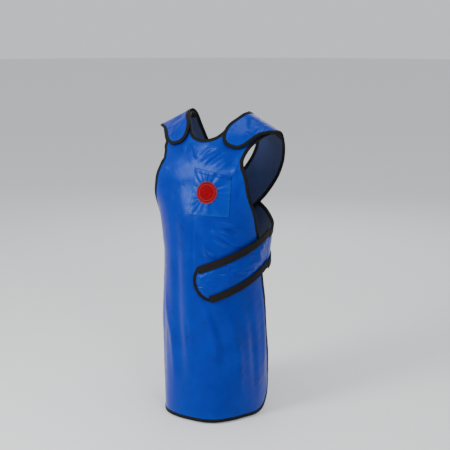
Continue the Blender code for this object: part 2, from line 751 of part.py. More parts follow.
# ---------------------------------------------------------------- waist closure flap
tip = np.array(FLAP_TIP)
u = np.array((1.0, FLAP_SLOPE)) / np.hypot(1.0, FLAP_SLOPE)
w = np.array((-u[1], u[0]))
TIP_LONG = 0.046


def on_flap(along, across):
    return tip + np.outer(np.atleast_1d(along), u) + np.outer(np.atleast_1d(across), w)


flap_upper = cut_at_side(on_flap(np.arange(TIP_LONG, 0.30, 0.023), STRAP_HALF), False)
flap_lower = cut_at_side(on_flap(np.arange(TIP_LONG, 0.30, 0.023), -STRAP_HALF), False)
turn = np.linspace(np.pi / 2, 3 * np.pi / 2, 11)
nose = on_flap(0, 0) + np.outer(TIP_LONG * (1 + 0.98 * np.cos(turn)), u)
nose = nose + np.outer(STRAP_HALF * np.sin(turn), w)
waist_edge = np.vstack([flap_upper[::-1], nose[1:-1], flap_lower])
waist_outline = join(waist_edge, side_line(flap_lower[-1], flap_upper[-1], False))
waist = Pattern(waist_outline, (0.022, 0.022))
on = hinge["waist"]
sheet("waist_flap_lining", waist, STRAP_AT, CLOTH, NAVY, parent=on)
sheet("waist_flap_cover", waist, STRAP_COVER_AT, CLOTH, BLUE, parent=on)
tape("waist_flap_binding", waist_edge, strap_low, strap_high, TAPE, parent=on,
     cuts=(at_side(False), at_side(False)))
slant = float(np.arctan(FLAP_SLOPE))
hook_at = on_flap(0.070, 0.0)[0]
loop_at = on_flap(0.085, 0.0)[0]
sheet("waist_hook_strip", Pattern(rounded_box(hook_at, (0.094, 0.056), 0.005, slant),
                                  (0.013, 0.013), seam=0), HOOK_AT, HOOK, HOOK_TAPE,
      parent=on)
sheet("waist_loop_strip", Pattern(rounded_box(loop_at, (0.146, 0.072), 0.005, slant),
                                  (0.013, 0.013), seam=0), LOOP_AT, LOOP, LOOP_PILE)
for name, low, high in (("upper", STRAP_HALF - BAND, STRAP_HALF + 0.0008),
                        ("lower", -STRAP_HALF - 0.0008, BAND - STRAP_HALF)):
    rows = np.arange(0.030, 0.30, 0.021)
    near = cut_at_side(on_flap(rows, low), False)
    far = cut_at_side(on_flap(rows, high), False)
    outline = join(near, side_line(near[-1], far[-1], False), far[::-1])
    sheet(name + "_elastic_front", Pattern(outline, (0.02, 0.02), seam=0), BAND_AT,
          ELASTIC, ELASTIC_WEB, parent=on)
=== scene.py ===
"""Looks of the frontal lead apron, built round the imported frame.

The garment is drafted as flat pattern pieces and laid on one body form, as the frame's
solids are.  A pattern point is (s, v): s runs round the body from the centre line,
positive to the wearer's left, and v runs up the cloth from the chest line.  There is a
chart from the front centre and one from the back centre.
"""
import json

import bmesh
import bpy
import numpy as np
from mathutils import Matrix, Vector
from mathutils.geometry import delaunay_2d_cdt
from mathutils.kdtree import KDTree


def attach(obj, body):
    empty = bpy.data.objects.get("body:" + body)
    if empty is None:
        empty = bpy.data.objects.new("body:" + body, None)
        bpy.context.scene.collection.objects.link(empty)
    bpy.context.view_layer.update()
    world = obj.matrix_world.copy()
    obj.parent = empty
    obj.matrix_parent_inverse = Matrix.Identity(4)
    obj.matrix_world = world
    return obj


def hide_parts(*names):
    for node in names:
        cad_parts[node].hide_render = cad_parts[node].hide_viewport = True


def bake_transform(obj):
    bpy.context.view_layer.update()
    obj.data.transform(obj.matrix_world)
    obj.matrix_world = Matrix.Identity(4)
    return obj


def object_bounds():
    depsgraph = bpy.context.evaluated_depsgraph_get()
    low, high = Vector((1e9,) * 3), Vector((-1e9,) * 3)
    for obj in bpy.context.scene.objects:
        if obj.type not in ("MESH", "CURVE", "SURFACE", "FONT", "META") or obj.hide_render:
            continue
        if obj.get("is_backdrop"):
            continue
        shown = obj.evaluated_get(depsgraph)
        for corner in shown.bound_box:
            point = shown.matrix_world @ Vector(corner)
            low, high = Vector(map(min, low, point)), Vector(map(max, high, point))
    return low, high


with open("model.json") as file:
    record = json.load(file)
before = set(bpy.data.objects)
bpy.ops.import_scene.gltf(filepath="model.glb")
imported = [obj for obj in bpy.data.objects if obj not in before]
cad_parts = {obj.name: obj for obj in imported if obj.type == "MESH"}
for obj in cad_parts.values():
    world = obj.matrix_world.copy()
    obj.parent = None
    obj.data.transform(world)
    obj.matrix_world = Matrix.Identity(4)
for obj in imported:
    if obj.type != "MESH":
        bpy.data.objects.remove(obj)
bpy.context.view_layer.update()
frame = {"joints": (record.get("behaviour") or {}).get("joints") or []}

# ---- sizes, in metres
CHEST_Z = -0.20
HEM_Z = -0.914
HALF_WIDTH = 0.305
HEM_CORNER = 0.085
SECTIONS = (                    # height, half width, front depth, back depth, centre y
    (-0.93, 0.150, 0.200, 0.085, 0.036),
    (-0.62, 0.158, 0.180, 0.100, 0.022),
    (-0.43, 0.150, 0.165, 0.095, 0.015),
    (-0.29, 0.168, 0.146, 0.105, 0.006),
    (-0.20, 0.235, 0.118, 0.108, 0.004),
    (0.10, 0.235, 0.118, 0.108, 0.004),
)
ROUNDNESS = 2.25
DOME = 1.65
LEAN = 0.12
SHOULDER_SLOPE = 0.55
NECK_X = 0.085
SAMPLES = 241
CREST_SOFT = 24

CLOTH = 0.0005
CORE = 0.0011
WEB = 0.0007
TAPE_GAP = 0.0005
BINDING = 0.0094
SEAM = 0.011
BAND = 0.0205
LINING_AT = 0.0
INNER_CORE_AT = 0.0009
OUTER_CORE_AT = 0.0024
COVER_AT = 0.0039
PANEL_TOP = COVER_AT + CLOTH
LOOP_AT = PANEL_TOP + 0.0008
STRAP_AT = 0.0092
HOOK_AT = STRAP_AT - 0.0018
PAD_AT = STRAP_AT + 0.0009
PAD_LEAST_TOP = STRAP_AT + 0.0017
STRAP_COVER_AT = STRAP_AT + 0.0012
FLAP_COVER_AT = STRAP_AT + 0.0024
STRAP_HALF = 0.0555
CROSSING = 0.0064
SHOULDER_IN = 0.092
SHOULDER_OUT = 0.190
SHOULDER_TAIL = 0.030
FLAP_SLOPE = 0.4245
FLAP_TIP = (0.0126, -0.306)
FLAP_SIDE = -0.210
POCKET = ((-0.010, 0.040), (0.105, 0.022), (0.105, -0.094), (-0.014, -0.092))
BADGE = (0.036, -0.028)
BADGE_RADIUS = 0.031

WEAVE = 0.0055                  # mesh spacing on the big panels
CREASED_FROM = -0.27            # above this the panel is creased,
CREASED_WEAVE = 0.0040          # and meshed at this spacing
FINE = 0.0038                   # spacing on straps and flaps
SMALL = 0.0024                  # spacing on the pocket
CHUNK = 4000                    # points worked on at once, to spare memory
EDGE = 0.005                    # spacing of points along an outline
HINGE_GAP = 0.0002              # pieces stop this far short of a hinge line
PATCH_THICK = 0.0008


# ---- the body form
def blended(z, column):
    """One column of SECTIONS at heights z, averaged over 0.1 m so that it has no corners."""
    heights = np.array([row[0] for row in SECTIONS])
    values = np.array([row[column] for row in SECTIONS])
    total = 0.0
    weight = 0.0
    for k in np.linspace(-1, 1, 9):
        w = 1 - 0.9 * abs(k)
        total = total + w * np.interp(np.asarray(z) + 0.05 * k, heights, values)
        weight += w
    return total / weight


def power(base, exponent):
    """Power that keeps the sign of its base."""
    return np.sign(base) * np.abs(base) ** exponent


def crest_height(x):
    """Top of the shoulder above the neck's side, sloping down outwards."""
    return -SHOULDER_SLOPE * (np.sqrt(x * x + 0.02 ** 2) - NECK_X)


def softener():
    """Weights that round off a profile's corners and leave its ends in place."""
    i = np.arange(SAMPLES)
    spread = np.minimum(CREST_SOFT, np.minimum(i, SAMPLES - 1 - i) / 3) + 1e-3
    weight = np.exp(-0.5 * ((i[:, None] - i[None, :]) / spread[None, :]) ** 2)
    return weight / weight.sum(0)


SOFTEN = softener()
ANGLE = np.linspace(0, np.pi, SAMPLES)[None, :]


def profile(x):
    """Front-to-back outline over the shoulder at lateral positions x."""
    a, bf, bb, yc = (float(blended(CHEST_Z, c)) for c in (1, 2, 3, 4))
    cos, sin = np.cos(ANGLE), np.sin(ANGLE)
    k = (1 - np.abs(x / a) ** ROUNDNESS) ** (1 / ROUNDNESS)
    depth = np.where(cos >= 0, bf, bb) * k[:, None]
    Z = CHEST_Z + (crest_height(x) - CHEST_Z)[:, None] * np.abs(sin) ** (2 / DOME)
    Y = yc - depth * power(cos, 2 / DOME) + LEAN * (Z - CHEST_Z)
    return Y @ SOFTEN, Z @ SOFTEN


def walk(distance, X, Y):
    """The point at each distance along each row's line."""
    step = np.hypot(np.diff(X, axis=1), np.diff(Y, axis=1))
    length = np.concatenate([np.zeros((len(X), 1)), np.cumsum(step, axis=1)], axis=1)
    i = np.clip((length <= distance[:, None]).sum(1) - 1, 0, X.shape[1] - 2)
    row = np.arange(len(X))
    part = length[row, i + 1] - length[row, i]
    f = np.clip((distance - length[row, i]) / np.maximum(part, 1e-12), 0, 1)
    return tuple(V[row, i] + f * (V[row, i + 1] - V[row, i]) for V in (X, Y))


def place(s, v, back=False):
    """Pattern point to the surface of the form."""
    s, v = np.asarray(s, float), np.asarray(v, float)
    if len(s) > CHUNK:
        cut = len(s) // 2
        return np.vstack([place(s[:cut], v[:cut], back), place(s[cut:], v[cut:], back)])
    z = CHEST_Z + np.minimum(v, 0)
    angle = np.pi - ANGLE if back else ANGLE
    half, front, rear, mid = (blended(z[:, None], c) for c in (1, 2, 3, 4))
    cos, sin = np.cos(angle), np.sin(angle)
    X = half * power(sin, 2 / ROUNDNESS)
    Y = mid - np.where(cos >= 0, front, rear) * power(cos, 2 / ROUNDNESS)
    x, y = walk(np.abs(s), X, Y)
    x = x * np.sign(s)
    up = v > 0
    if up.any():
        Y, Z = profile(x[up])
        if back:
            Y, Z = Y[:, ::-1], Z[:, ::-1]
        y[up], z[up] = walk(v[up], Y, Z)
    return np.stack([x, y, z], 1)


def outward(s, v, back=False):
    """Unit normal of the form, away from the body."""
    h = 2e-4
    n = np.cross(place(s + h, v, back) - place(s - h, v, back),
                 place(s, v + h, back) - place(s, v - h, back))
    n = n * (-1 if back else 1)
    return n / np.linalg.norm(n, axis=1)[:, None]


def crest(s, back=False):
    """Cloth distance from the chest line to the top of the shoulder."""
    s = np.atleast_1d(np.asarray(s, float))
    Y, Z = profile(place(s, np.zeros(len(s)), back)[:, 0])
    half = slice(SAMPLES // 2, None) if back else slice(None, SAMPLES // 2 + 1)
    return np.hypot(np.diff(Y[:, half], axis=1), np.diff(Z[:, half], axis=1)).sum(1)


def round_to(x, back=False):
    """How far round the chest line a given x lies."""
    s = np.linspace(0, 0.3, 1201)
    return np.interp(x, place(s, np.zeros(len(s)), back)[:, 0], s)


def side(v, back=False):
    """How far round the body its widest point lies, at height v."""
    z = np.atleast_1d(CHEST_Z + np.minimum(v, 0))
    t = np.linspace(0, np.pi / 2, SAMPLES)[None, :]
    X = blended(z, 1)[:, None] * np.sin(t) ** (2 / ROUNDNESS)
    Y = blended(z, 3 if back else 2)[:, None] * np.cos(t) ** (2 / ROUNDNESS)
    return np.hypot(np.diff(X, axis=1), np.diff(Y, axis=1)).sum(1)


# ---- pattern drafting
def resample(path, spacing):
    """The same line with evenly spaced points."""
    path = np.asarray(path, float)
    length = np.concatenate([[0], np.cumsum(np.hypot(*np.diff(path, axis=0).T))])
    count = max(2, int(round(length[-1] / spacing)) + 1)
    stations = np.linspace(0, length[-1], count)
    return np.stack([np.interp(stations, length, path[:, i]) for i in (0, 1)], 1)


def curve(points, spacing):
    """Smooth line through the given points at an even spacing."""
    p = np.array(points, float)
    p = np.vstack([2 * p[0] - p[1], p, 2 * p[-1] - p[-2]])
    out = []
    t = np.linspace(0, 1, 24, endpoint=False)[:, None]
    for i in range(1, len(p) - 2):
        a, b, c, d = p[i - 1:i + 3]
        square = (2 * a - 5 * b + 4 * c - d) * t ** 2
        cube = (3 * b - a - 3 * c + d) * t ** 3
        out.append(0.5 * (2 * b + (c - a) * t + square + cube))
    out.append(p[-2][None])
    return resample(np.vstack(out), spacing)


def mirrored(path):
    return (np.asarray(path) * (-1, 1))[::-1]


def on_side(path, sign):
    """A line drafted for the wearer's left, for the side that sign names."""
    return path if sign > 0 else mirrored(path)


def join(*lines):
    """Closed outline from open lines that share their end points."""
    rows = []
    for p in np.vstack(lines):
        if not rows or np.hypot(*(p - rows[-1])) > 2e-4:
            rows.append(p)
    if np.hypot(*(rows[0] - rows[-1])) < 2e-4:
        rows.pop()
    return np.array(rows)


def left_of(path, closed=False):
    """Unit offsets to the left of the line at every point, mitred."""
    if closed:
        ahead, behind = np.roll(path, -1, 0) - path, path - np.roll(path, 1, 0)
    else:
        step = np.diff(path, axis=0)
        ahead, behind = np.vstack([step, step[-1:]]), np.vstack([step[:1], step])
    ahead = ahead / np.hypot(*ahead.T)[:, None]
    behind = behind / np.hypot(*behind.T)[:, None]
    n = np.stack([-(ahead + behind)[:, 1], (ahead + behind)[:, 0]], 1)
    n = n / np.hypot(*n.T)[:, None]
    cosine = (n * np.stack([-ahead[:, 1], ahead[:, 0]], 1)).sum(1)
    return n / np.maximum(cosine, 0.6)[:, None]


def inside(points, outline):
    """Which points an outline encloses, by counting its crossings."""
    out = []
    x1, y1 = outline[:, 0][None], outline[:, 1][None]
    x2, y2 = np.roll(outline[:, 0], -1)[None], np.roll(outline[:, 1], -1)[None]
    for part in np.array_split(points, max(1, len(points) // CHUNK)):
        x, y = part[:, 0][:, None], part[:, 1][:, None]
        span = (y1 > y) != (y2 > y)
        cut = x1 + (y - y1) * (x2 - x1) / np.where(y2 == y1, 1e-12, y2 - y1)
        out.append((span & (x < cut)).sum(1) % 2 == 1)
    return np.concatenate(out)


def to_line(points, line, closed=True):
    """Distance of points from a line, and how far along it (0 to 1) the nearest spot is."""
    a = line if closed else line[:-1]
    b = np.roll(line, -1, 0) if closed else line[1:]
    ab = b - a
    best, where = [], []
    for part in np.array_split(points, max(1, len(points) // CHUNK)):
        ap = part[:, None] - a[None]
        t = np.clip((ap * ab).sum(2) / (ab * ab).sum(1), 0, 1)
        d = np.hypot(*np.moveaxis(ap - t[..., None] * ab, 2, 0))
        i = d.argmin(1)
        rows = np.arange(len(part))
        best.append(d[rows, i])
        where.append((i + t[rows, i]) / len(a))
    return np.concatenate(best), np.concatenate(where)


def lattice(low, high, spacing):
    """Points in staggered rows, for even triangles."""
    rows = np.arange(low[1] + spacing / 2, high[1], spacing * 0.866)
    return np.vstack([np.stack([np.arange(low[0] + spacing * (0.25 + 0.5 * (k % 2)),
                                          high[0], spacing)] * 2, 1) * (1, 0) + (0, v)
                      for k, v in enumerate(rows)])


class Pattern:
    """A flat piece with a triangle mesh fine enough to fold."""

    def __init__(self, outline, spacing, seam=0.0, back=False, closer=None):
        self.outline, self.back = outline, back
        loops = [outline]
        if seam:
            line = outline + left_of(outline, True) * seam
            loops.append(line[to_line(line, outline)[0] > 0.92 * seam])
        low, high = outline.min(0), outline.max(0)
        inner = lattice(low, high, spacing)
        if closer:
            split, tight = closer
            inner = np.vstack([inner[inner[:, 1] < split],
                               lattice((low[0], split), high, tight)])
        keep = inside(inner, outline)
        for line in loops:
            keep[keep] = to_line(inner[keep], line)[0] > 0.5 * spacing
        edges, start = [], 0
        for line in loops:
            n = len(line)
            edges += [(start + i, start + (i + 1) % n) for i in range(n)]
            start += n
        found = delaunay_2d_cdt([Vector(p) for p in np.vstack(loops + [inner[keep]])],
                                edges, [], 0, 1e-6)
        self.points = np.array([tuple(p) for p in found[0]])
        faces = np.array([tuple(f) for f in found[2]])
        corner = self.points[faces]
        a, b = corner[:, 1] - corner[:, 0], corner[:, 2] - corner[:, 0]
        area = np.abs(a[:, 0] * b[:, 1] - a[:, 1] * b[:, 0])
        kept = inside(corner.mean(1), outline) & (area > 1e-8)
        self.faces = faces[kept]
        self.area = float(area[kept].sum() / 2)
        self.core = self.faces
        if seam:
            self.core = self.faces[inside(self.points[self.faces].mean(1), loops[1])]
        self.base = place(*self.points.T, back)
        self.normal = outward(*self.points.T, back)
        self.edge = to_line(self.points, outline)[0]


# ---- folds in the cloth
RIDGES = (                      # line in mm in the front chart, height, half width in mm
    (((48, 98), (22, 84), (-2, 62)), -2.2, 5.0),
    (((60, 92), (34, 75), (8, 52)), 1.7, 7.0),
    (((78, 92), (48, 72), (22, 44)), -1.8, 5.0),
    (((94, 88), (66, 64), (40, 42)), 1.4, 6.5),
    (((-46, 118), (-28, 100), (-6, 66)), -1.3, 4.0),
    (((16, 108), (6, 92), (-4, 70)), -1.4, 4.5),
    (((-48, 112), (-50, 75), (-24, 44)), -1.1, 5.0),
    (((-30, 110), (-30, 80), (-12, 55)), 1.1, 6.0),
    (((112, 88), (98, 58), (70, 36)), -1.4, 5.5),
    (((126, 80), (116, 50), (108, 24)), 1.6, 8.0),
    (((52, -136), (85, -150), (118, -172), (158, -186)), 6.0, 7.5),
    (((50, -150), (82, -166), (112, -186)), -3.6, 7.0),
    (((64, -106), (100, -122), (140, -130)), 4.0, 7.0),
    (((78, -122), (112, -140), (152, -150)), -3.0, 6.0),
    (((34, -178), (46, -203), (74, -212)), 3.8, 6.0),
    (((24, -190), (38, -220), (60, -226)), -1.6, 6.0),
    (((76, -198), (112, -208), (146, -198)), 1.6, 6.0),
    (((-166, 122), (-140, 112), (-112, 110)), -2.2, 5.0),
    (((-164, 108), (-138, 94), (-112, 92)), 1.8, 6.5),
    (((-150, 74), (-132, 60), (-110, 56)), -1.8, 5.0),
    (((-142, 50), (-124, 34), (-104, 30)), 1.5, 6.5),
    (((148, 10), (132, -20), (124, -70)), -2.0, 8.0),
    (((0, -105), (1, -165), (4, -245)), -1.0, 4.0),
    (((9, -100), (10, -165), (12, -245)), 0.8, 4.5),
    (((-72, -20), (-66, -115), (-55, -230), (-50, -355), (-40, -460), (-30, -600)), -3.4, 17.0),
    (((-26, -60), (-20, -200), (-12, -400), (0, -640)), 3.0, 19.0),
    (((30, -345), (50, -392), (70, -455), (80, -560)), 2.4, 9.0),
    (((50, -350), (74, -400), (94, -470), (108, -600)), -2.6, 12.0),
    (((92, -352), (122, -420), (146, -520), (156, -650)), 3.4, 15.0),
    (((160, -330), (186, -420), (204, -540), (214, -650)), -3.4, 14.0),
    (((-22, -380), (-12, -430), (-4, -520)), -1.7, 8.0),
    (((-118, -330), (-98, -400), (-72, -470), (-60, -600)), 2.6, 12.0),
    (((-150, -180), (-142, -300), (-128, -440), (-120, -620)), -3.0, 15.0),
    (((-190, -200), (-196, -330), (-190, -480), (-184, -640)), 3.2, 16.0),
    (((-240, -330), (-244, -470), (-240, -640)), -2.8, 14.0),
    (((232, -340), (250, -460), (258, -620)), 2.8, 13.0),
)


def wander(points, scale, seed):
    """Smooth unevenness from a few crossed waves, about -1 to 1."""
    rng = np.random.default_rng(seed)
    total = np.zeros(len(points))
    for _ in range(7):
        turn = rng.uniform(0, np.pi)
        phase = rng.uniform(0, 2 * np.pi)
        length = scale * rng.uniform(0.7, 1.7)
        along = points @ np.array([np.cos(turn), np.sin(turn)])
        total += np.sin(along * 2 * np.pi / length + phase)
    return total / 3.5


FOLD_SCALE = 1.35e-3            # metres a ridge stands per unit of its height
SWAY_FROM = -0.30               # below this the skirt swings in and out
SWAY = 0.0030


def front_folds(points):
    """How far the front panel stands off its smooth shape."""
    total = np.zeros(len(points))
    for line, height, width in RIDGES:
        path = curve(np.array(line) / 1000, 0.008)
        d, t = to_line(points, path, closed=False)
        taper = np.sin(np.pi * np.clip(t, 0.02, 0.98)) ** 0.6
        waver = 1 + 0.18 * np.sin(8 * t + height)
        total += FOLD_SCALE * height * taper * waver * np.exp(-(d / (width * 1e-3)) ** 2)
    total += 0.00035 * wander(points, 0.045, 3) + 0.0005 * wander(points, 0.13, 4)
    low = np.clip((SWAY_FROM - points[:, 1]) / 0.40, 0, 1)
    sway = np.sin(points[:, 0] * 2 * np.pi / 0.17 + 0.6 + 2.0 * points[:, 1])
    return total + SWAY * low * sway


# ---- meshes
def smooth(t):
    """Ease from 0 to 1."""
    t = np.clip(t, 0, 1)
    return t * t * (3 - 2 * t)


def made(name, points, faces, material, cloth, wear=0.0, more=(), kinds=None):
    """Mesh object with the pattern position and wear kept on its points."""
    mesh = bpy.data.meshes.new(name)
    mesh.from_pydata(np.asarray(points).tolist(), [], [list(map(int, f)) for f in faces])
    for m in (material,) + tuple(more):
        mesh.materials.append(m)
    if kinds is not None:
        mesh.polygons.foreach_set("material_index", np.asarray(kinds, np.int32))
    mesh.polygons.foreach_set("use_smooth", np.ones(len(mesh.polygons), bool))
    flat = np.zeros((len(points), 3), np.float32)
    flat[:, :2] = cloth
    layer = mesh.attributes.new("cloth", "FLOAT_VECTOR", "POINT")
    layer.data.foreach_set("vector", flat.ravel())
    value = np.zeros(len(points), np.float32) + wear
    layer = mesh.attributes.new("wear", "FLOAT", "POINT")
    layer.data.foreach_set("value", value.astype(np.float32))
    obj = bpy.data.objects.new(name, mesh)
    bpy.context.scene.collection.objects.link(obj)
    bm = bmesh.new()
    bm.from_mesh(mesh)
    bmesh.ops.recalc_face_normals(bm, faces=bm.faces)
    bm.to_mesh(mesh)
    bm.free()
    return obj


def rim(faces):
    """Boundary edges, each in the direction its face runs."""
    edges = np.vstack([faces[:, [0, 1]], faces[:, [1, 2]], faces[:, [2, 0]]])
    key = np.sort(edges, axis=1)
    _, first, count = np.unique(key, axis=0, return_index=True, return_counts=True)
    return edges[first[count == 1]]


def slab(name, pattern, low, high, material, faces=None):
    """Closed cloth between two heights over the body form."""
    faces = pattern.faces if faces is None else faces
    used = np.unique(faces)
    index = np.zeros(len(pattern.points), int)
    index[used] = np.arange(len(used))
    faces = index[faces]
    under, top = ((pattern.base + pattern.normal
                   * np.broadcast_to(height, len(pattern.points))[:, None])[used]
                  for height in (low, high))
    n = len(used)
    edge = rim(faces)
    walls = [(a, a + n, b + n, b) for a, b in edge]
    rows = [tuple(f) for f in faces] + [tuple(f[::-1] + n) for f in faces] + walls
    cloth = np.vstack([pattern.points[used]] * 2)
    wear = np.exp(-pattern.edge[used] / 0.012)
    return made(name, np.vstack([top, under]), rows, material, cloth, np.tile(wear, 2))


def tube(rows, around, first=0, ring=False):
    """Faces along rings of points.  A ring closes on itself, any other tube has two ends."""
    faces = [(first + i * around + k, first + i * around + (k + 1) % around,
              first + (i + 1) % rows * around + (k + 1) % around,
              first + (i + 1) % rows * around + k)
             for i in range(rows if ring else rows - 1) for k in range(around)]
    if not ring:
        last = first + (rows - 1) * around
        faces += [tuple(range(first, first + around))[::-1], tuple(range(last, last + around))]
    return faces


def laid(points, height, back=False):
    """Pattern points in space, at a height over the form."""
    points = np.asarray(points, float)
    height = np.broadcast_to(height, len(points))
    return place(*points.T, back) + outward(*points.T, back) * height[:, None]


def runs(path, spacing):
    """Even stations along a line and the distance at each."""
    path = resample(path, spacing)
    step = np.hypot(*np.diff(path, axis=0).T)
    return path, np.concatenate([[0], np.cumsum(step)])


def stitches(line, heights, back=False, length=0.0029, pitch=0.0041, radius=0.00030):
    """Thread lying on the cloth, one short raised stitch after another."""
    path, along = line
    count = int(along[-1] / pitch)
    stations = ((np.arange(count) + 0.5) * pitch)[:, None] + np.linspace(-length / 2, length / 2, 5)
    stations = np.clip(stations, 0, along[-1]).ravel()
    spots = np.stack([np.interp(stations, along, path[:, k]) for k in (0, 1)], 1)
    base = laid(spots, np.interp(stations, along, heights), back)
    rows, ups = (a.reshape(count, 5, 3) for a in (base, outward(*spots.T, back)))
    heading = rows[:, -1] - rows[:, 0]
    across = np.cross(heading[:, None], ups)
    across /= np.maximum(np.linalg.norm(across, axis=2), 1e-9)[..., None]
    swell = np.array((0.25, 0.9, 1.0, 0.9, 0.25))[None, :, None]
    ring = np.linspace(0, 2 * np.pi, 6)[:-1]
    grid = np.stack([rows + (across * np.cos(t) + ups * (np.sin(t) + 0.1)) * radius * swell
                     for t in ring], 2)
    faces = [f for first in range(0, 25 * count, 25) for f in tube(5, 5, first)]
    return grid.reshape(-1, 3), faces, np.repeat(spots, 5, 0)


TAPE_PROFILE = (                # part of the width, face (high, middle, low), lift
    (1.00, "h", 0.15), (0.97, "h", 1.0), (0.72, "h", 1.25), (0.40, "h", 1.7),
    (0.10, "h", 1.5), (-1, "h", 0.9), (-2, "m", 0.0), (-1, "l", 0.9),
    (0.10, "l", 1.5), (0.40, "l", 1.6), (0.72, "l", 1.2), (0.97, "l", 1.0),
    (1.00, "l", 0.15), (0.60, "l", 0.0), (0.10, "l", 0.0), (0.10, "h", 0.0),
    (0.60, "h", 0.0),
)                               # -1 and -2 are the two steps past the cloth's edge


def bound(name, path, low, high, material, back=False, seed=1, width=BINDING, thick=WEB,
          gap=TAPE_GAP, thread=True):
    """Bias tape folded round an edge and sewn down.  low and high give the cloth's heights."""
    path, along = runs(path, 0.0042)
    turn = left_of(path)
    waver = 0.00045 * wander(np.stack([along, along * 0], 1), 0.06, seed)
    pucker = 0.00016 * np.sin(along * 2 * np.pi / 0.0085 + 1.5 * np.sin(along * 31))
    rings = []
    for e, which, lift in TAPE_PROFILE:
        reach = {-1: -gap - 0.45 * thick, -2: -(gap + thick)}.get(e, e * width)
        line = path + turn * (reach + waver)[:, None]
        upper, lower = high(line), low(line)
        if which == "h":
            d = upper + lift * (thick + pucker)
        elif which == "l":
            d = lower - lift * (thick + pucker)
        else:
            d = (upper + lower) / 2
        rings.append(laid(line, d, back))
    grid = np.stack(rings, 1)
    n, m = grid.shape[:2]
    faces = tube(n, m)
    verts = grid.reshape(-1, 3)
    across = np.array([max(e, 0) for e, _, _ in TAPE_PROFILE]) * width
    cloth = np.stack([np.repeat(along, m), np.tile(across, n)], 1)
    kinds = [0] * len(faces)
    if thread:
        row = path + turn * (width * 0.80 + waver)[:, None]
        v, f, shade = stitches((row, along), high(row) + 1.22 * thick, back)
        faces += [tuple(x + len(verts) for x in g) for g in f]
        kinds += [1] * len(f)
        verts = np.vstack([verts, v])
        cloth = np.vstack([cloth, shade])
    return made(name, verts, faces, material, cloth, more=(THREAD,), kinds=kinds)


BILLOW_FRAMES = 21
SEWN_WITHIN = 0.0085            # points this near a bound edge are held by its seam


def billow(pattern, rest, growth, pressure, pinned, cap):
    """Cloth simulation of a piece sewn down along its pinned points. Returns how far each
    point rises, no more than cap."""
    edge = pattern.edge
    start = pattern.base + pattern.normal * rest[:, None]
    mesh = bpy.data.meshes.new("billow")
    mesh.from_pydata(start.tolist(), [], pattern.faces.tolist())
    obj = bpy.data.objects.new("billow", mesh)
    bpy.context.scene.collection.objects.link(obj)
    group = obj.vertex_groups.new(name="sewn")
    group.add([int(i) for i in np.flatnonzero(pinned)], 1.0, "REPLACE")
    cloth = obj.modifiers.new("cloth", "CLOTH")
    how = cloth.settings
    how.quality = 6
    how.mass = 0.25
    how.tension_stiffness = 40
    how.compression_stiffness = 40
    how.shear_stiffness = 15
    how.bending_stiffness = 0.9
    how.vertex_group_mass = "sewn"
    how.shrink_min = -growth
    how.use_pressure = True
    how.uniform_pressure_force = pressure * (-1 if pattern.back else 1)
    how.effector_weights.gravity = 0
    cloth.collision_settings.use_collision = False
    cloth.point_cache.frame_start = 1
    cloth.point_cache.frame_end = BILLOW_FRAMES + 1
    scene = bpy.context.scene
    for frame_number in range(1, BILLOW_FRAMES + 1):
        scene.frame_set(frame_number)
    found = obj.evaluated_get(bpy.context.evaluated_depsgraph_get()).to_mesh()
    moved = np.array([v.co for v in found.vertices])
    bpy.data.objects.remove(obj)
    scene.frame_set(1)
    rise = ((moved - start) * pattern.normal).sum(1)
    return np.clip(rise, -0.0012, cap) * smooth(edge / 0.004)


# ---- materials
def nodes_of(name):
    material = bpy.data.materials.new(name)
    material.use_nodes = True
    tree = material.node_tree
    return material, tree, tree.nodes["Principled BSDF"]


def put(tree, kind, values=None, links=None, **settings):
    """Add a node, set its inputs and connect them."""
    node = tree.nodes.new("ShaderNode" + kind)
    for key, value in settings.items():
        setattr(node, key, value)
    for key, value in (values or {}).items():
        node.inputs[key].default_value = value
    for key, source in (links or {}).items():
        tree.links.new(source, node.inputs[key])
    return node


def ramp(tree, source, low, high):
    node = put(tree, "ValToRGB", links={0: source})
    for item, stop, colour in zip(node.color_ramp.elements, (0.3, 0.7), (low, high)):
        item.position = stop
        item.color = (*colour, 1)
    return node.outputs[0]


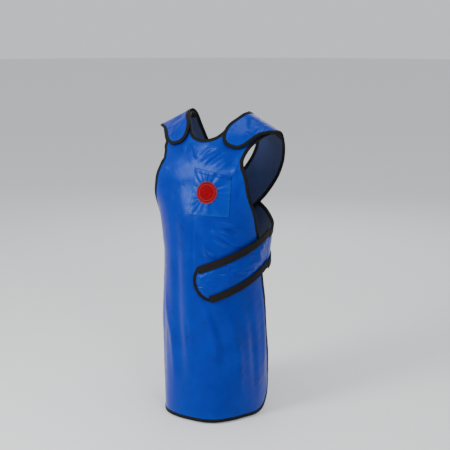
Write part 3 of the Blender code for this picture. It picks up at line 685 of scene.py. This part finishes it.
def fabric(name, dark, light, rough, pitch, weave=0.25, sheen=0.0, worn=None, crinkle=0.0,
           twill=0.0, patch=16.0, gloss=0.5, tint=(1, 1, 1)):
    """Woven cloth: crossed threads, uneven dye, creasing, and wear towards its edges."""
    material, tree, shader = nodes_of(name)
    cloth = put(tree, "Attribute", attribute_name="cloth").outputs["Vector"]
    turned = put(tree, "Mapping", {"Rotation": (0, 0, twill)}, {"Vector": cloth}).outputs[0]
    warp, weft = (put(tree, "TexWave", {"Scale": 0.314 / pitch, "Distortion": 0.6, "Detail": 1.0},
                      {"Vector": turned}, bands_direction=way).outputs["Fac"] for way in "XY")
    thread = put(tree, "Math", links={0: warp, 1: weft}, operation="MAXIMUM").outputs[0]
    broad = put(tree, "TexNoise", {"Scale": patch, "Detail": 5.0, "Roughness": 0.6},
                {"Vector": cloth}).outputs["Fac"]
    fine = put(tree, "TexNoise", {"Scale": 720.0, "Detail": 3.0},
               {"Vector": cloth}).outputs["Fac"]
    amount = put(tree, "MapRange", {"From Min": 0.52, "From Max": 0.75, "To Max": 0.26},
                 {"Value": fine}).outputs[0]
    colour = put(tree, "MixRGB", {"Color2": (*[c * 0.72 for c in dark], 1)},
                 {"Fac": amount, "Color1": ramp(tree, broad, dark, light)}).outputs[0]
    if worn:
        wear = put(tree, "Attribute", attribute_name="wear").outputs["Fac"]
        rub = put(tree, "Math", links={0: wear, 1: fine}, operation="MULTIPLY").outputs[0]
        colour = put(tree, "MixRGB", {"Color2": (*worn, 1)},
                     {"Fac": rub, "Color1": colour}).outputs[0]
    shine = put(tree, "MapRange", {"From Min": 0.3, "From Max": 0.7,
                                   "To Min": rough[0], "To Max": rough[1]},
                {"Value": broad}).outputs[0]
    bump = put(tree, "Bump", {"Strength": weave, "Distance": pitch * 0.35},
               {"Height": thread}).outputs[0]
    if crinkle:
        small = put(tree, "TexNoise", {"Scale": 62.0, "Detail": 4.0, "Roughness": 0.55,
                                       "Distortion": 0.5}, {"Vector": cloth}).outputs["Fac"]
        bump = put(tree, "Bump", {"Strength": crinkle, "Distance": 0.0016},
                   {"Height": small, "Normal": bump}).outputs[0]
    for key, source in (("Base Color", colour), ("Roughness", shine), ("Normal", bump)):
        tree.links.new(source, shader.inputs[key])
    for key, value in (("Specular IOR Level", gloss), ("Specular Tint", (*tint, 1)),
                       ("Sheen Weight", sheen), ("Sheen Roughness", 0.35)):
        shader.inputs[key].default_value = value
    return material


NYLON = fabric("glossy_blue_nylon", (0.0003, 0.0110, 0.205), (0.0006, 0.0180, 0.285), (0.26, 0.36),
               0.00042, weave=0.22, worn=(0.01, 0.06, 0.34), crinkle=0.34, gloss=0.36,
               tint=(0.24, 0.46, 1.0))
LINING = fabric("navy_lining", (0.006, 0.016, 0.075), (0.010, 0.026, 0.105), (0.48, 0.60), 0.0005,
                weave=0.35, sheen=0.15, worn=(0.02, 0.04, 0.12), crinkle=0.25)
VINYL = fabric("lead_vinyl", (0.045, 0.047, 0.050), (0.070, 0.072, 0.076), (0.42, 0.60), 0.0016,
               weave=0.12, crinkle=0.3)
TAPE_CLOTH = fabric("black_binding_tape", (0.0004, 0.0004, 0.0005), (0.0013, 0.0013, 0.0016),
                    (0.50, 0.66), 0.00075, weave=0.9, sheen=0.02, worn=(0.004, 0.004, 0.0045),
                    twill=0.785, patch=60.0, gloss=0.16)
ELASTIC_CLOTH = fabric("elastic_webbing", (0.0022, 0.0008, 0.0007), (0.0046, 0.0021, 0.0018),
                       (0.55, 0.72), 0.0012, weave=0.9, sheen=0.02, patch=90.0, gloss=0.2)
PILE = fabric("loop_pile", (0.006, 0.010, 0.035), (0.012, 0.020, 0.060), (0.8, 0.95), 0.0009,
              weave=1.0, sheen=0.6, patch=150.0)
HOOKS = fabric("hook_tape", (0.006, 0.006, 0.008), (0.016, 0.016, 0.02), (0.4, 0.6), 0.0011,
               weave=1.0, patch=120.0)
FOAM_SKIN = fabric("foam_pad", (0.11, 0.11, 0.115), (0.16, 0.16, 0.165), (0.8, 0.9), 0.0008,
                   weave=0.6, crinkle=0.4)
TWILL = fabric("badge_twill", (0.15, 0.0, 0.003), (0.23, 0.0, 0.005), (0.5, 0.65), 0.0008,
               weave=0.9, twill=0.785, patch=120.0, gloss=0.15, tint=(1.0, 0.3, 0.3))
THREAD = fabric("sewing_thread", (0.010, 0.011, 0.014), (0.024, 0.025, 0.030), (0.35, 0.5),
                0.0004, weave=0.8, twill=0.6, patch=300.0)
BLUE_THREAD = fabric("blue_thread", (0.004, 0.035, 0.22), (0.008, 0.06, 0.33), (0.35, 0.5),
                     0.0004, weave=0.8, twill=0.6, patch=300.0)
RED_THREAD = fabric("badge_thread", (0.085, 0.0006, 0.003), (0.14, 0.001, 0.005), (0.35, 0.5),
                    0.0004, weave=0.8, twill=0.6, patch=300.0)

# ---- outlines
HEM_V = HEM_Z - CHEST_Z
neck_s = round_to(SHOULDER_IN)
arm_s = round_to(SHOULDER_OUT)
neck_top = float(crest(neck_s)[0])
arm_top = float(crest(arm_s)[0])

right_neck = mirrored([(0.0, 0.124), (0.033, 0.134), (0.052, 0.155), (0.064, 0.178),
                       (0.078, 0.205), (neck_s, neck_top),
                       (neck_s + 0.001, neck_top + SHOULDER_TAIL)])
neckline = curve(np.vstack([right_neck[:-1], right_neck[::-1] * (-1, 1)]), EDGE)[::-1]
left_edge = curve([(HALF_WIDTH, HEM_V + HEM_CORNER), (0.302, -0.600), (0.288, -0.530),
                   (0.266, -0.440), (0.252, -0.340), (0.228, -0.230), (0.205, -0.155),
                   (0.186, -0.095), (0.163, -0.040), (0.149, 0.015), (0.134, 0.050),
                   (0.130, 0.075), (0.142, 0.112), (0.163, 0.142), (0.184, 0.162),
                   (arm_s, arm_top), (arm_s + 0.001, arm_top + SHOULDER_TAIL)], EDGE)
turn = np.linspace(0, np.pi / 2, 28)
corner = np.stack([HALF_WIDTH - HEM_CORNER * (1 - np.cos(turn)),
                   HEM_V + HEM_CORNER * (1 - np.sin(turn))], 1)[::-1]
flat_hem = resample([(-HALF_WIDTH + HEM_CORNER, HEM_V), (HALF_WIDTH - HEM_CORNER, HEM_V)], EDGE)
left_end = resample([left_edge[-1], neckline[0]], EDGE)
left_side = join(corner, left_edge)
panel_outline = join(flat_hem, left_side, left_end, neckline, mirrored(left_end),
                     mirrored(left_side))

back_in = round_to(SHOULDER_IN, True)
back_out = round_to(SHOULDER_OUT, True)
middle = (back_in + back_out) / 2
top = float(crest(middle, True)[0])
to_side = np.array((float(side(np.array([FLAP_SIDE]), True)[0]), FLAP_SIDE))
heading = np.array((1.0, -FLAP_SLOPE)) / np.hypot(1.0, FLAP_SLOPE)
RUN = ((-middle, top + 0.03), (-middle, top - 0.045), (-0.128, 0.060), (-0.078, -0.022),
       (0.0, -0.096), (0.095, -0.160))


def strap_line(beyond):
    """Centre line from the wearer's right shoulder round to the left side."""
    return curve(list(RUN) + [to_side, to_side + heading * beyond], EDGE)


def first_past(a, b, past):
    """The first of 60 spots from a to b where past holds."""
    probe = a + (b - a) * np.linspace(0, 1, 60)[:, None]
    return probe[int(np.argmax(past(probe)))]


def strap_edges(line, half):
    """Upper and lower edge, from the crest of the shoulder down."""
    def below(points):
        return points[:, 1] <= crest(points[:, 0], True) - HINGE_GAP

    edges = []
    for way in (half, -half):
        edge = line + left_of(line) * way
        edge = np.vstack([edge[0] + (0, 0.03), edge])
        first = int(np.argmax(edge[:, 1] < crest(edge[:, 0], True) - HINGE_GAP))
        s = first_past(edge[first - 1], edge[first], below)[0]
        start = np.array((s, float(crest(s, True)[0]) - HINGE_GAP))
        edges.append(np.vstack([start, edge[first:]]))
    return edges


def over(points):
    """The strap to the left waist rises over the other one at the centre back."""
    r = np.hypot(points[:, 0] / 0.95, points[:, 1] + 0.096)
    return CROSSING * smooth((0.165 - r) / 0.062)


def cut_at_side(edge, back=True):
    """End an edge on the hinge line at the wearer's side."""
    def past(points):
        return points[:, 0] >= side(points[:, 1], back) - HINGE_GAP

    last = int(np.argmax(past(edge)))
    v = first_past(edge[last - 1], edge[last], past)[1]
    return np.vstack([edge[:last], (float(side(v, back)[0]) - HINGE_GAP, v)])


def side_line(start, end, back):
    """Vertical cut at the side, between two edge points."""
    v = np.linspace(start[1], end[1], 24)[1:-1]
    return np.stack([side(v, back) - HINGE_GAP, v], 1)


def shoulder_line(start, end, back):
    """Cut along the crest of the shoulder, between two edge points."""
    s = np.linspace(start[0], end[0], 24)[1:-1]
    return np.stack([s, crest(s, back) - HINGE_GAP], 1)


flap_inner = curve([(neck_s, neck_top + 0.02), (neck_s, neck_top), (0.079, 0.205),
                    (0.063, 0.178), (0.056, 0.150), (0.058, 0.128), (0.070, 0.111),
                    (0.088, 0.103), (0.107, 0.101), (0.124, 0.110), (0.138, 0.126),
                    (0.154, 0.145), (0.171, 0.154), (0.185, 0.158), (arm_s - 0.003, 0.163),
                    (arm_s, arm_top + 0.02)], 0.004)
first = np.array((neck_s, float(crest(neck_s)[0]) - HINGE_GAP))
last = np.array((arm_s, float(crest(arm_s)[0]) - HINGE_GAP))
low_enough = flap_inner[:, 1] < crest(flap_inner[:, 0]) - HINGE_GAP - 0.003
apart = np.hypot(*(flap_inner - last).T) > 0.004
flap_edge = np.vstack([first, flap_inner[low_enough & apart], last])
flap_outline = join(flap_edge, shoulder_line(last, first, False))

tip = np.array(FLAP_TIP)
flap_way = np.array((1.0, FLAP_SLOPE)) / np.hypot(1.0, FLAP_SLOPE)
flap_up = np.array((-flap_way[1], flap_way[0]))
TIP_LONG = 0.046
FLAP_REACH = 0.30               # drafted past the side, then cut there


def on_flap(along, across):
    """Pattern points from distances along the waist flap and across it."""
    return (tip + np.outer(np.atleast_1d(along), flap_way)
            + np.outer(np.atleast_1d(across), flap_up))


flap_upper, flap_lower = (cut_at_side(on_flap(np.arange(TIP_LONG, FLAP_REACH, EDGE), way), False)
                          for way in (STRAP_HALF, -STRAP_HALF))
turn = np.linspace(np.pi / 2, 3 * np.pi / 2, 33)
nose = on_flap(0, 0) + np.outer(TIP_LONG * (1 + 0.98 * np.cos(turn)), flap_way)
nose = nose + np.outer(STRAP_HALF * np.sin(turn), flap_up)
waist_edge = np.vstack([flap_upper[::-1], nose[1:-1], flap_lower])
waist_outline = join(waist_edge, side_line(flap_lower[-1], flap_upper[-1], False))


# ---- how high the cloth lies
def calm(points):
    """Folds die out under the flaps and where straps lie on the panel."""
    keep = np.ones(len(points))
    for outline in (flap_outline, mirrored(flap_outline), waist_outline):
        d = to_line(points, outline)[0]
        d = np.where(inside(points, outline), -d, d)
        keep = np.minimum(keep, smooth(d / 0.014))
    beside = smooth((np.abs(points[:, 0]) - 0.182) / 0.02)
    beside = beside * smooth((points[:, 1] + 0.335) / 0.03)
    beside = beside * smooth((-0.115 - points[:, 1]) / 0.03)
    shoulder = smooth((points[:, 1] - 0.17) / 0.03)
    return keep * (1 - beside) * (1 - shoulder)


def lift(points):
    """The folds of the front panel, as every layer and binding of it follows them."""
    return front_folds(points) * calm(points)


def at(height, *extra):
    """Height function from a fixed stand-off and any further rises."""
    def total(points):
        return sum((f(points) for f in extra), np.full(len(points), float(height)))
    return total


class Spread:
    """Values known at pattern points, read off anywhere near them."""

    def __init__(self, points, values):
        self.tree = KDTree(len(points))
        for i, p in enumerate(points):
            self.tree.insert((p[0], p[1], 0), i)
        self.tree.balance()
        self.values = np.asarray(values)

    def __call__(self, points):
        out = np.empty(len(points))
        for k, p in enumerate(points):
            near = self.tree.find_n((p[0], p[1], 0), 3)
            weight = np.array([1 / (d + 1e-5) for _, _, d in near])
            out[k] = (self.values[[i for _, i, _ in near]] * weight).sum() / weight.sum()
        return out


# ---- putting pieces on the frame
def on_body(obj, node, body, bend=None):
    """Stand a piece in for a node, and hide the node.  Without bend it rides on its body; with bend
    its transform is baked in where it stands, and the bend points are not used.
    """
    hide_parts(node)
    if bend:
        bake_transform(obj)
    else:
        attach(obj, body)


def trimming(obj):
    """A detail that no node of the frame stands for."""
    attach(obj, "front_apron")


BLUE = NYLON, "blue_nylon"
NAVY = LINING, "lining_nylon"
LEAD = VINYL, "lead_vinyl"


def sheet(node, pattern, low, high, look, body="front_apron", bend=None,
          faces=None, suffix="_cloth"):
    """Cloth that stands in for a node."""
    obj = slab(node + suffix, pattern, low, high, look[0], faces)
    on_body(obj, node, body, bend)


def tape(name, node, path, low, high, seed, body="front_apron", bend=None, back=False):
    """A binding that stands in for a node."""
    obj = bound(name + "_tape", path, low, high, TAPE_CLOTH, back=back, seed=seed)
    on_body(obj, node, body, bend)


# ---- front panel
panel = Pattern(panel_outline, WEAVE, seam=SEAM, closer=(CREASED_FROM, CREASED_WEAVE))
panel.lift = lift(panel.points)
top_at = at(PANEL_TOP, lift)
low_at = at(LINING_AT, lift)
for node, low, thick, look, faces in (
        ("front_lining", LINING_AT, CLOTH, NAVY, panel.faces),
        ("front_lead_core_inner", INNER_CORE_AT, CORE, LEAD, panel.core),
        ("front_lead_core_outer", OUTER_CORE_AT, CORE, LEAD, panel.core),
        ("front_cover", COVER_AT, CLOTH, BLUE, panel.faces)):
    sheet(node, panel, panel.lift + low, panel.lift + low + thick, look,
          faces=faces)

for node, path, seed in (("neckline_binding", neckline, 11), ("hem_binding", flat_hem, 12),
                         ("left_side_binding", left_side, 13),
                         ("right_side_binding", mirrored(left_side), 14),
                         ("left_shoulder_end_binding", left_end, 15),
                         ("right_shoulder_end_binding", mirrored(left_end), 16)):
    tape(node, node, path, low_at, top_at, seed)

# ---- chest pocket and badge
pocket_top = resample([POCKET[1], POCKET[0]], SMALL)
pocket_rest = [resample([a, b], SMALL) for a, b in
               ((POCKET[0], POCKET[3]), (POCKET[3], POCKET[2]), (POCKET[2], POCKET[1]))]
pocket = Pattern(join(pocket_top, *pocket_rest), SMALL)
RAYS = 17
POCKET_BULGE = 0.0062


def pocket_swell(points):
    """Open at the top, flat along its sewn edges, pulled into rays about the badge."""
    (x0, y0), (x1, _), (_, y2), _ = POCKET
    across = np.clip((points[:, 0] - x0) / (x1 - x0), 0, 1)
    up = np.clip((points[:, 1] - y2) / (y0 - y2), 0, 1)
    out = np.sin(np.pi * across) * np.sin(up * np.pi / 2)
    dx, dy = points[:, 0] - BADGE[0], points[:, 1] - BADGE[1]
    r, angle = np.hypot(dx, dy), np.arctan2(dy, dx)
    ray = np.sin(RAYS * angle + 2.3 * np.sin(3 * angle + 0.7) + 9 * r)
    ray = np.sign(ray) * np.abs(ray) ** 0.75
    fade = smooth((r - 0.026) / 0.012) * smooth((0.098 - r) / 0.045)
    walls = smooth(np.minimum(across, 1 - across) / 0.06) * smooth(up / 0.06)
    walls = walls * smooth((1 - up) / 0.12)
    long = 0.65 + 0.35 * np.sin(5 * angle + 1.0)
    return POCKET_BULGE * out + 0.00125 * ray * fade * walls * long


pocket_low = at(PANEL_TOP + 0.0004, lift, pocket_swell)
pocket_high = at(PANEL_TOP + 0.0012, lift, pocket_swell)
sheet("chest_pocket", pocket, pocket_low(pocket.points), pocket_high(pocket.points), BLUE)
obj = bound("pocket_hem_fold", pocket_top, pocket_low, pocket_high, NYLON, seed=21,
            width=0.0125, thick=0.0004, gap=0.0002, thread=False)
on_body(obj, "pocket_hem", "front_apron")
sewn_path = np.vstack([pocket_rest[0], pocket_rest[1][1:], pocket_rest[2][1:]])
for name, line, inset, above in (("pocket_side_stitching", sewn_path, 0.0026, 0.0002),
                                 ("pocket_hem_stitching", pocket_top, 0.0112, 0.0009)):
    path, along = runs(line + left_of(line) * inset, 0.003)
    v, f, shade = stitches((path, along), pocket_high(path) + above)
    trimming(made(name, v, f, BLUE_THREAD, shade))


def turns(count):
    """Angles evenly round a circle."""
    return np.linspace(0, 2 * np.pi, count + 1)[:-1]


def circle(radius, t):
    return np.stack([BADGE[0] + radius * np.cos(t), BADGE[1] + radius * np.sin(t)], 1)


badge = Pattern(circle(BADGE_RADIUS, turns(120)), 0.0022)
sheet("pocket_badge", badge, pocket_high(badge.points) + 0.0003,
      pocket_high(badge.points) + 0.0014, (TWILL, "badge_twill"),
      suffix="_twill")


def merrowed(name, radius, thick, count, material):
    """Overlocked thread border: a round bead of slanting turns."""
    steps = 720
    t = turns(steps)
    path = circle(radius, t)
    away = np.stack([np.cos(t), np.sin(t)], 1)
    rows = []
    for a in turns(10):
        fat = thick * (1 + 0.20 * np.sin(count * t + 1.6 * np.cos(a)))
        here = path + away * (fat * np.cos(a))[:, None]
        rows.append(laid(here, pocket_high(path) + 0.0011 + fat * 0.62 * np.sin(a)))
    grid = np.stack(rows, 1)
    m = grid.shape[1]
    return made(name, grid.reshape(-1, 3), tube(steps, m, ring=True), material,
                np.repeat(path, m, 0))


for name, radius, thick, count in (("badge_border", BADGE_RADIUS - 0.0002, 0.0018, 96),
                                   ("badge_inner_ring", 0.0235, 0.0009, 84)):
    trimming(merrowed(name, radius, thick, count, RED_THREAD))


# ---- crossed back straps
def puff(outline, height, reach=0.016):
    """Cloth crowned between its bound edges."""
    return lambda points: height * (1 - np.exp(-(to_line(points, outline)[0] / reach) ** 2))


CREASING = 0.0006


def crumple(seed):
    """Uneven creasing, broad and fine."""
    return lambda points: (CREASING * wander(points, 0.055, seed)
                           + 0.5 * CREASING * wander(points, 0.024, seed + 50))


def strap(name, upper, lower, bottom, flip, rise, seed):
    """Cover, lining and two edge bindings.  Flip puts it on the other side."""
    outline = join(lower, bottom, upper[::-1], shoulder_line(upper[0], lower[0], True))
    top_edge, low_edge = upper[::-1], lower
    if flip:
        outline, top_edge, low_edge = (mirrored(p) for p in (outline, top_edge, low_edge))
    piece = Pattern(outline, FINE, back=True)
    crown = puff(outline, 0.0022)
    crease = crumple(seed)
    fade = puff(outline, 1.0, 0.012)
    low = at(STRAP_AT, rise)
    high = at(STRAP_COVER_AT + CLOTH, rise, crown, lambda p: crease(p) * fade(p))
    sheet(name + "_lining", piece, low(piece.points), low(piece.points) + CLOTH, NAVY)
    sheet(name + "_cover", piece, high(piece.points) - CLOTH, high(piece.points), BLUE)
    for which, edge in (("upper", top_edge), ("lower", low_edge)):
        tape(f"{name}_{which}", f"{name}_{which}_binding", edge, low, high, seed, back=True)


def flat(points):
    return np.zeros(len(points))


upper, lower = strap_edges(strap_line(0.06), STRAP_HALF)
upper, lower = cut_at_side(upper), cut_at_side(lower)
strap("right_back_strap", upper, lower, side_line(lower[-1], upper[-1], True), False, over, 31)
upper, lower = strap_edges(strap_line(0.030), STRAP_HALF)
strap("left_back_strap", upper, lower, resample([lower[-1], upper[-1]], EDGE), True, flat, 33)


def ribbed(name, near, far, height, back, material, ribs=9):
    """Elastic band woven in lengthwise ribs, square cut at its end."""
    count = max(len(near), len(far))
    spaced = [resample(p, np.hypot(*np.diff(p, axis=0).T).sum() / (3 * count))
              for p in (near, far)]
    n = min(len(p) for p in spaced)
    near, far = (p[np.round(np.linspace(0, len(p) - 1, n)).astype(int)] for p in spaced)
    t = np.linspace(0, 1, ribs * 4 + 1)
    rows = near[:, None] + (far - near)[:, None] * t[None, :, None]
    wide = rows.shape[1]
    cloth = rows.reshape(-1, 2)
    along = np.repeat(np.arange(n) * 0.0017, wide)
    rib = np.tile(0.00022 * np.abs(np.sin(t * ribs * np.pi)) ** 0.7, n)
    pick = 0.00007 * np.sin(along * 2 * np.pi / 0.0042)
    edge = np.tile(smooth(np.minimum(t, 1 - t) / 0.05), n)
    base = height(cloth)
    top_face = laid(cloth, base + 0.0008 + (rib + pick + 0.0004) * edge, back)
    low_face = laid(cloth, base, back)
    total = n * wide
    faces = []
    for i in range(n - 1):
        for k in range(wide - 1):
            q = (i * wide + k, i * wide + k + 1, (i + 1) * wide + k + 1, (i + 1) * wide + k)
            faces += [q, tuple(x + total for x in q[::-1])]
    border = ([(i, i + 1) for i in range(wide - 1)]
              + [(i * wide + wide - 1, (i + 1) * wide + wide - 1) for i in range(n - 1)]
              + [((n - 1) * wide + i + 1, (n - 1) * wide + i) for i in range(wide - 1)]
              + [((i + 1) * wide, i * wide) for i in range(n - 1)])
    faces += [(a, a + total, b + total, b) for a, b in border]
    return made(name, np.vstack([top_face, low_face]), faces, material,
                np.vstack([cloth, cloth]))


BAND_AT = STRAP_COVER_AT + CLOTH + TAPE_GAP + 1.9 * WEB
BANDS = (("upper", STRAP_HALF - BAND, STRAP_HALF + 0.0014),
         ("lower", -STRAP_HALF - 0.0014, BAND - STRAP_HALF))
back_line = strap_line(0.06)
for which, low, high in BANDS:
    keep = back_line[:, 0] > 0.055
    near = cut_at_side((back_line + left_of(back_line) * low)[keep])
    far = cut_at_side((back_line + left_of(back_line) * high)[keep])
    obj = ribbed(which + "_elastic_back_band", near, far, at(BAND_AT + 0.0014, over), True,
                 ELASTIC_CLOTH)
    on_body(obj, which + "_elastic_back", "front_apron")

# ---- shoulder flaps
joints = {j["name"]: j for j in frame["joints"]}


def bend_from(joint, into):
    """A point on the hinge and one past it, into the flap."""
    centre = np.array(joints[joint]["pos_m"])
    return tuple(centre), tuple(centre + np.array(into))


DROP = FLAP_COVER_AT - STRAP_COVER_AT


def rounded_box(centre, size, radius, turn, spacing=0.003):
    """Closed rounded rectangle, counter-clockwise."""
    w, h = size[0] / 2 - radius, size[1] / 2 - radius
    rows = []
    for k, (cx, cy) in enumerate(((w, h), (-w, h), (-w, -h), (w, -h))):
        for t in np.linspace(k * np.pi / 2, (k + 1) * np.pi / 2, 7):
            rows.append((cx + radius * np.cos(t), cy + radius * np.sin(t)))
    c, s = np.cos(turn), np.sin(turn)
    rows = np.array(rows) @ np.array([[c, s], [-s, c]]) + centre
    return resample(np.vstack([rows, rows[:1]]), spacing)[:-1]


def patches(name, shape, hooks, loops, body):
    """Hook tape under a flap and loop tape on the panel, each with a brushed, uneven face."""
    for kind, outline, low, material, slot, on in (
            ("hook", hooks, HOOK_AT, HOOKS, "hook_tape", body),
            ("loop", loops, LOOP_AT, PILE, "loop_pile", "front_apron")):
        piece = Pattern(outline, 0.0035)
        rough = 0.00018 * wander(piece.points, 0.004, 77)
        obj = slab(f"{name}_{kind}s", piece, low, low + PATCH_THICK + rough, material)
        on_body(obj, f"{name}_{kind}_{shape}", on)


for sign, which in ((1, "left"), (-1, "right")):
    body = which + "_shoulder_flap"
    piece = Pattern(on_side(flap_outline, sign), FINE, seam=SEAM)
    seam_line = on_side(shoulder_line(last, first, False), sign)

    def settle(points, seam_line=seam_line):
        """The flap starts level with its strap and then lies over its pad."""
        return -DROP * (1 - smooth(to_line(points, seam_line, closed=False)[0] / 0.022))

    rise = billow(piece, FLAP_COVER_AT + settle(piece.points), 0.012, 3.2,
                  piece.edge < SEWN_WITHIN, 0.0062)
    crown = Spread(piece.points, rise)
    low, high = at(STRAP_AT), at(FLAP_COVER_AT + CLOTH, settle, crown)
    bend = bend_from(body + "_lift", (0, -0.026, -0.006))
    top_height = FLAP_COVER_AT + CLOTH + settle(piece.points) + rise
    sheet(body + "_lining", piece, STRAP_AT, STRAP_AT + CLOTH, NAVY,
          body, bend)
    sheet(body + "_cover", piece, top_height - CLOTH, top_height, BLUE,
          body, bend)
    obj = slab(body + "_pad_foam", piece, PAD_AT,
               np.maximum(PAD_LEAST_TOP, top_height - CLOTH - 0.0006), FOAM_SKIN, piece.core)
    on_body(obj, body + "_pad", body, bend)
    tape(body, body + "_binding", on_side(flap_edge, sign), low, high, 41 + sign, body, bend)
    grip = on_side(rounded_box((0.110, 0.158), (0.050, 0.044), 0.008, 0.30), sign)
    patches(which + "_shoulder", "patch", grip, grip, body)

# ---- waist closure flap
waist = Pattern(waist_outline, FINE)
across = np.abs((waist.points - tip) @ flap_up)
along = (waist.points - tip) @ flap_way
BANDS_FROM = 0.028              # the elastic bands lie on the flap from here on
under_band = (across > STRAP_HALF - BAND - 0.001) & (along > BANDS_FROM)
rise = billow(waist, np.full(len(waist.points), STRAP_COVER_AT), 0.034, 3.6,
              (waist.edge < SEWN_WITHIN) | under_band, 0.0078)
rise = rise * np.where(along > BANDS_FROM, smooth((STRAP_HALF - BAND - across) / 0.006), 1)
crown = Spread(waist.points, rise)
low, high = at(STRAP_AT), at(STRAP_COVER_AT + CLOTH, crown)
body = "waist_flap"
bend = bend_from("waist_flap_opening", (-0.004, -0.030, 0))
sheet("waist_flap_lining", waist, STRAP_AT, STRAP_AT + CLOTH, NAVY,
      body, bend)
top_height = STRAP_COVER_AT + CLOTH + rise
sheet("waist_flap_cover", waist, top_height - CLOTH, top_height, BLUE,
      body, bend)
tape("waist_flap", "waist_flap_binding", waist_edge, low, high, 51, body, bend)
slant = float(np.arctan(FLAP_SLOPE))
patches("waist", "strip", rounded_box(on_flap(0.070, 0.0)[0], (0.094, 0.056), 0.005, slant),
        rounded_box(on_flap(0.085, 0.0)[0], (0.146, 0.072), 0.005, slant), body)
for which, low_side, high_side in BANDS:
    rows = np.arange(0.030, FLAP_REACH, 0.004)
    near = cut_at_side(on_flap(rows, low_side), False)
    far = cut_at_side(on_flap(rows, high_side), False)
    obj = ribbed(which + "_elastic_front_band", near, far, at(BAND_AT + 0.0006), False,
                 ELASTIC_CLOTH)
    on_body(obj, which + "_elastic_front", body, bend)

# ---- floor, light and camera
world = bpy.data.worlds.new("studio")
world.use_nodes = True
world.node_tree.nodes["Background"].inputs["Color"].default_value = (0.86, 0.88, 0.92, 1)
world.node_tree.nodes["Background"].inputs["Strength"].default_value = 0.85
bpy.context.scene.world = world

FLOOR_RADIUS = 18
floor_material, tree, shader = nodes_of("pale_floor")
shader.inputs["Base Color"].default_value = (0.80, 0.80, 0.80, 1)
shader.inputs["Roughness"].default_value = 0.9
mesh = bpy.data.meshes.new("floor")
mesh.from_pydata([(FLOOR_RADIUS * np.cos(a), FLOOR_RADIUS * np.sin(a), HEM_Z - 0.006)
                  for a in turns(96)], [], [tuple(range(96))])
mesh.materials.append(floor_material)
floor = bpy.data.objects.new("floor", mesh)
bpy.context.scene.collection.objects.link(floor)
floor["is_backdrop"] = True


def softbox(name, where, size, power_w):
    """Rectangular light aimed at the middle of the garment."""
    data = bpy.data.lights.new(name, "AREA")
    data.shape = "RECTANGLE"
    data.size, data.size_y = size
    data.energy = power_w
    obj = bpy.data.objects.new(name, data)
    obj.location = where
    obj.rotation_euler = (Vector(CENTRE) - Vector(where)).to_track_quat("-Z", "Y").to_euler()
    bpy.context.scene.collection.objects.link(obj)


CENTRE = (0, 0, -0.42)
softbox("key", (-1.25, -2.5, 0.85), (0.9, 1.2), 80)
softbox("fill", (2.1, -2.1, 1.25), (0.6, 0.9), 24)
softbox("over", (0.1, -0.4, 2.2), (1.4, 1.4), 26)
softbox("behind", (-0.9, 2.6, 0.9), (1.6, 1.6), 16)

camera = bpy.data.objects.new("camera", bpy.data.cameras.new("camera"))
AZIMUTH = np.radians(27)
DISTANCE = 3.2
eye = Vector((DISTANCE * np.sin(AZIMUTH), -DISTANCE * np.cos(AZIMUTH), 0.34))
camera.location = eye
camera.rotation_euler = (Vector((0, 0, -0.35)) - eye).to_track_quat("-Z", "Y").to_euler()
camera.data.lens = 36 * 1085 / 450
camera.data.sensor_width = 36
camera.data.shift_x = 0.02
camera.data.clip_start = 0.05
camera.data.clip_end = 100
bpy.context.scene.collection.objects.link(camera)
bpy.context.scene.camera = camera

low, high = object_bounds()
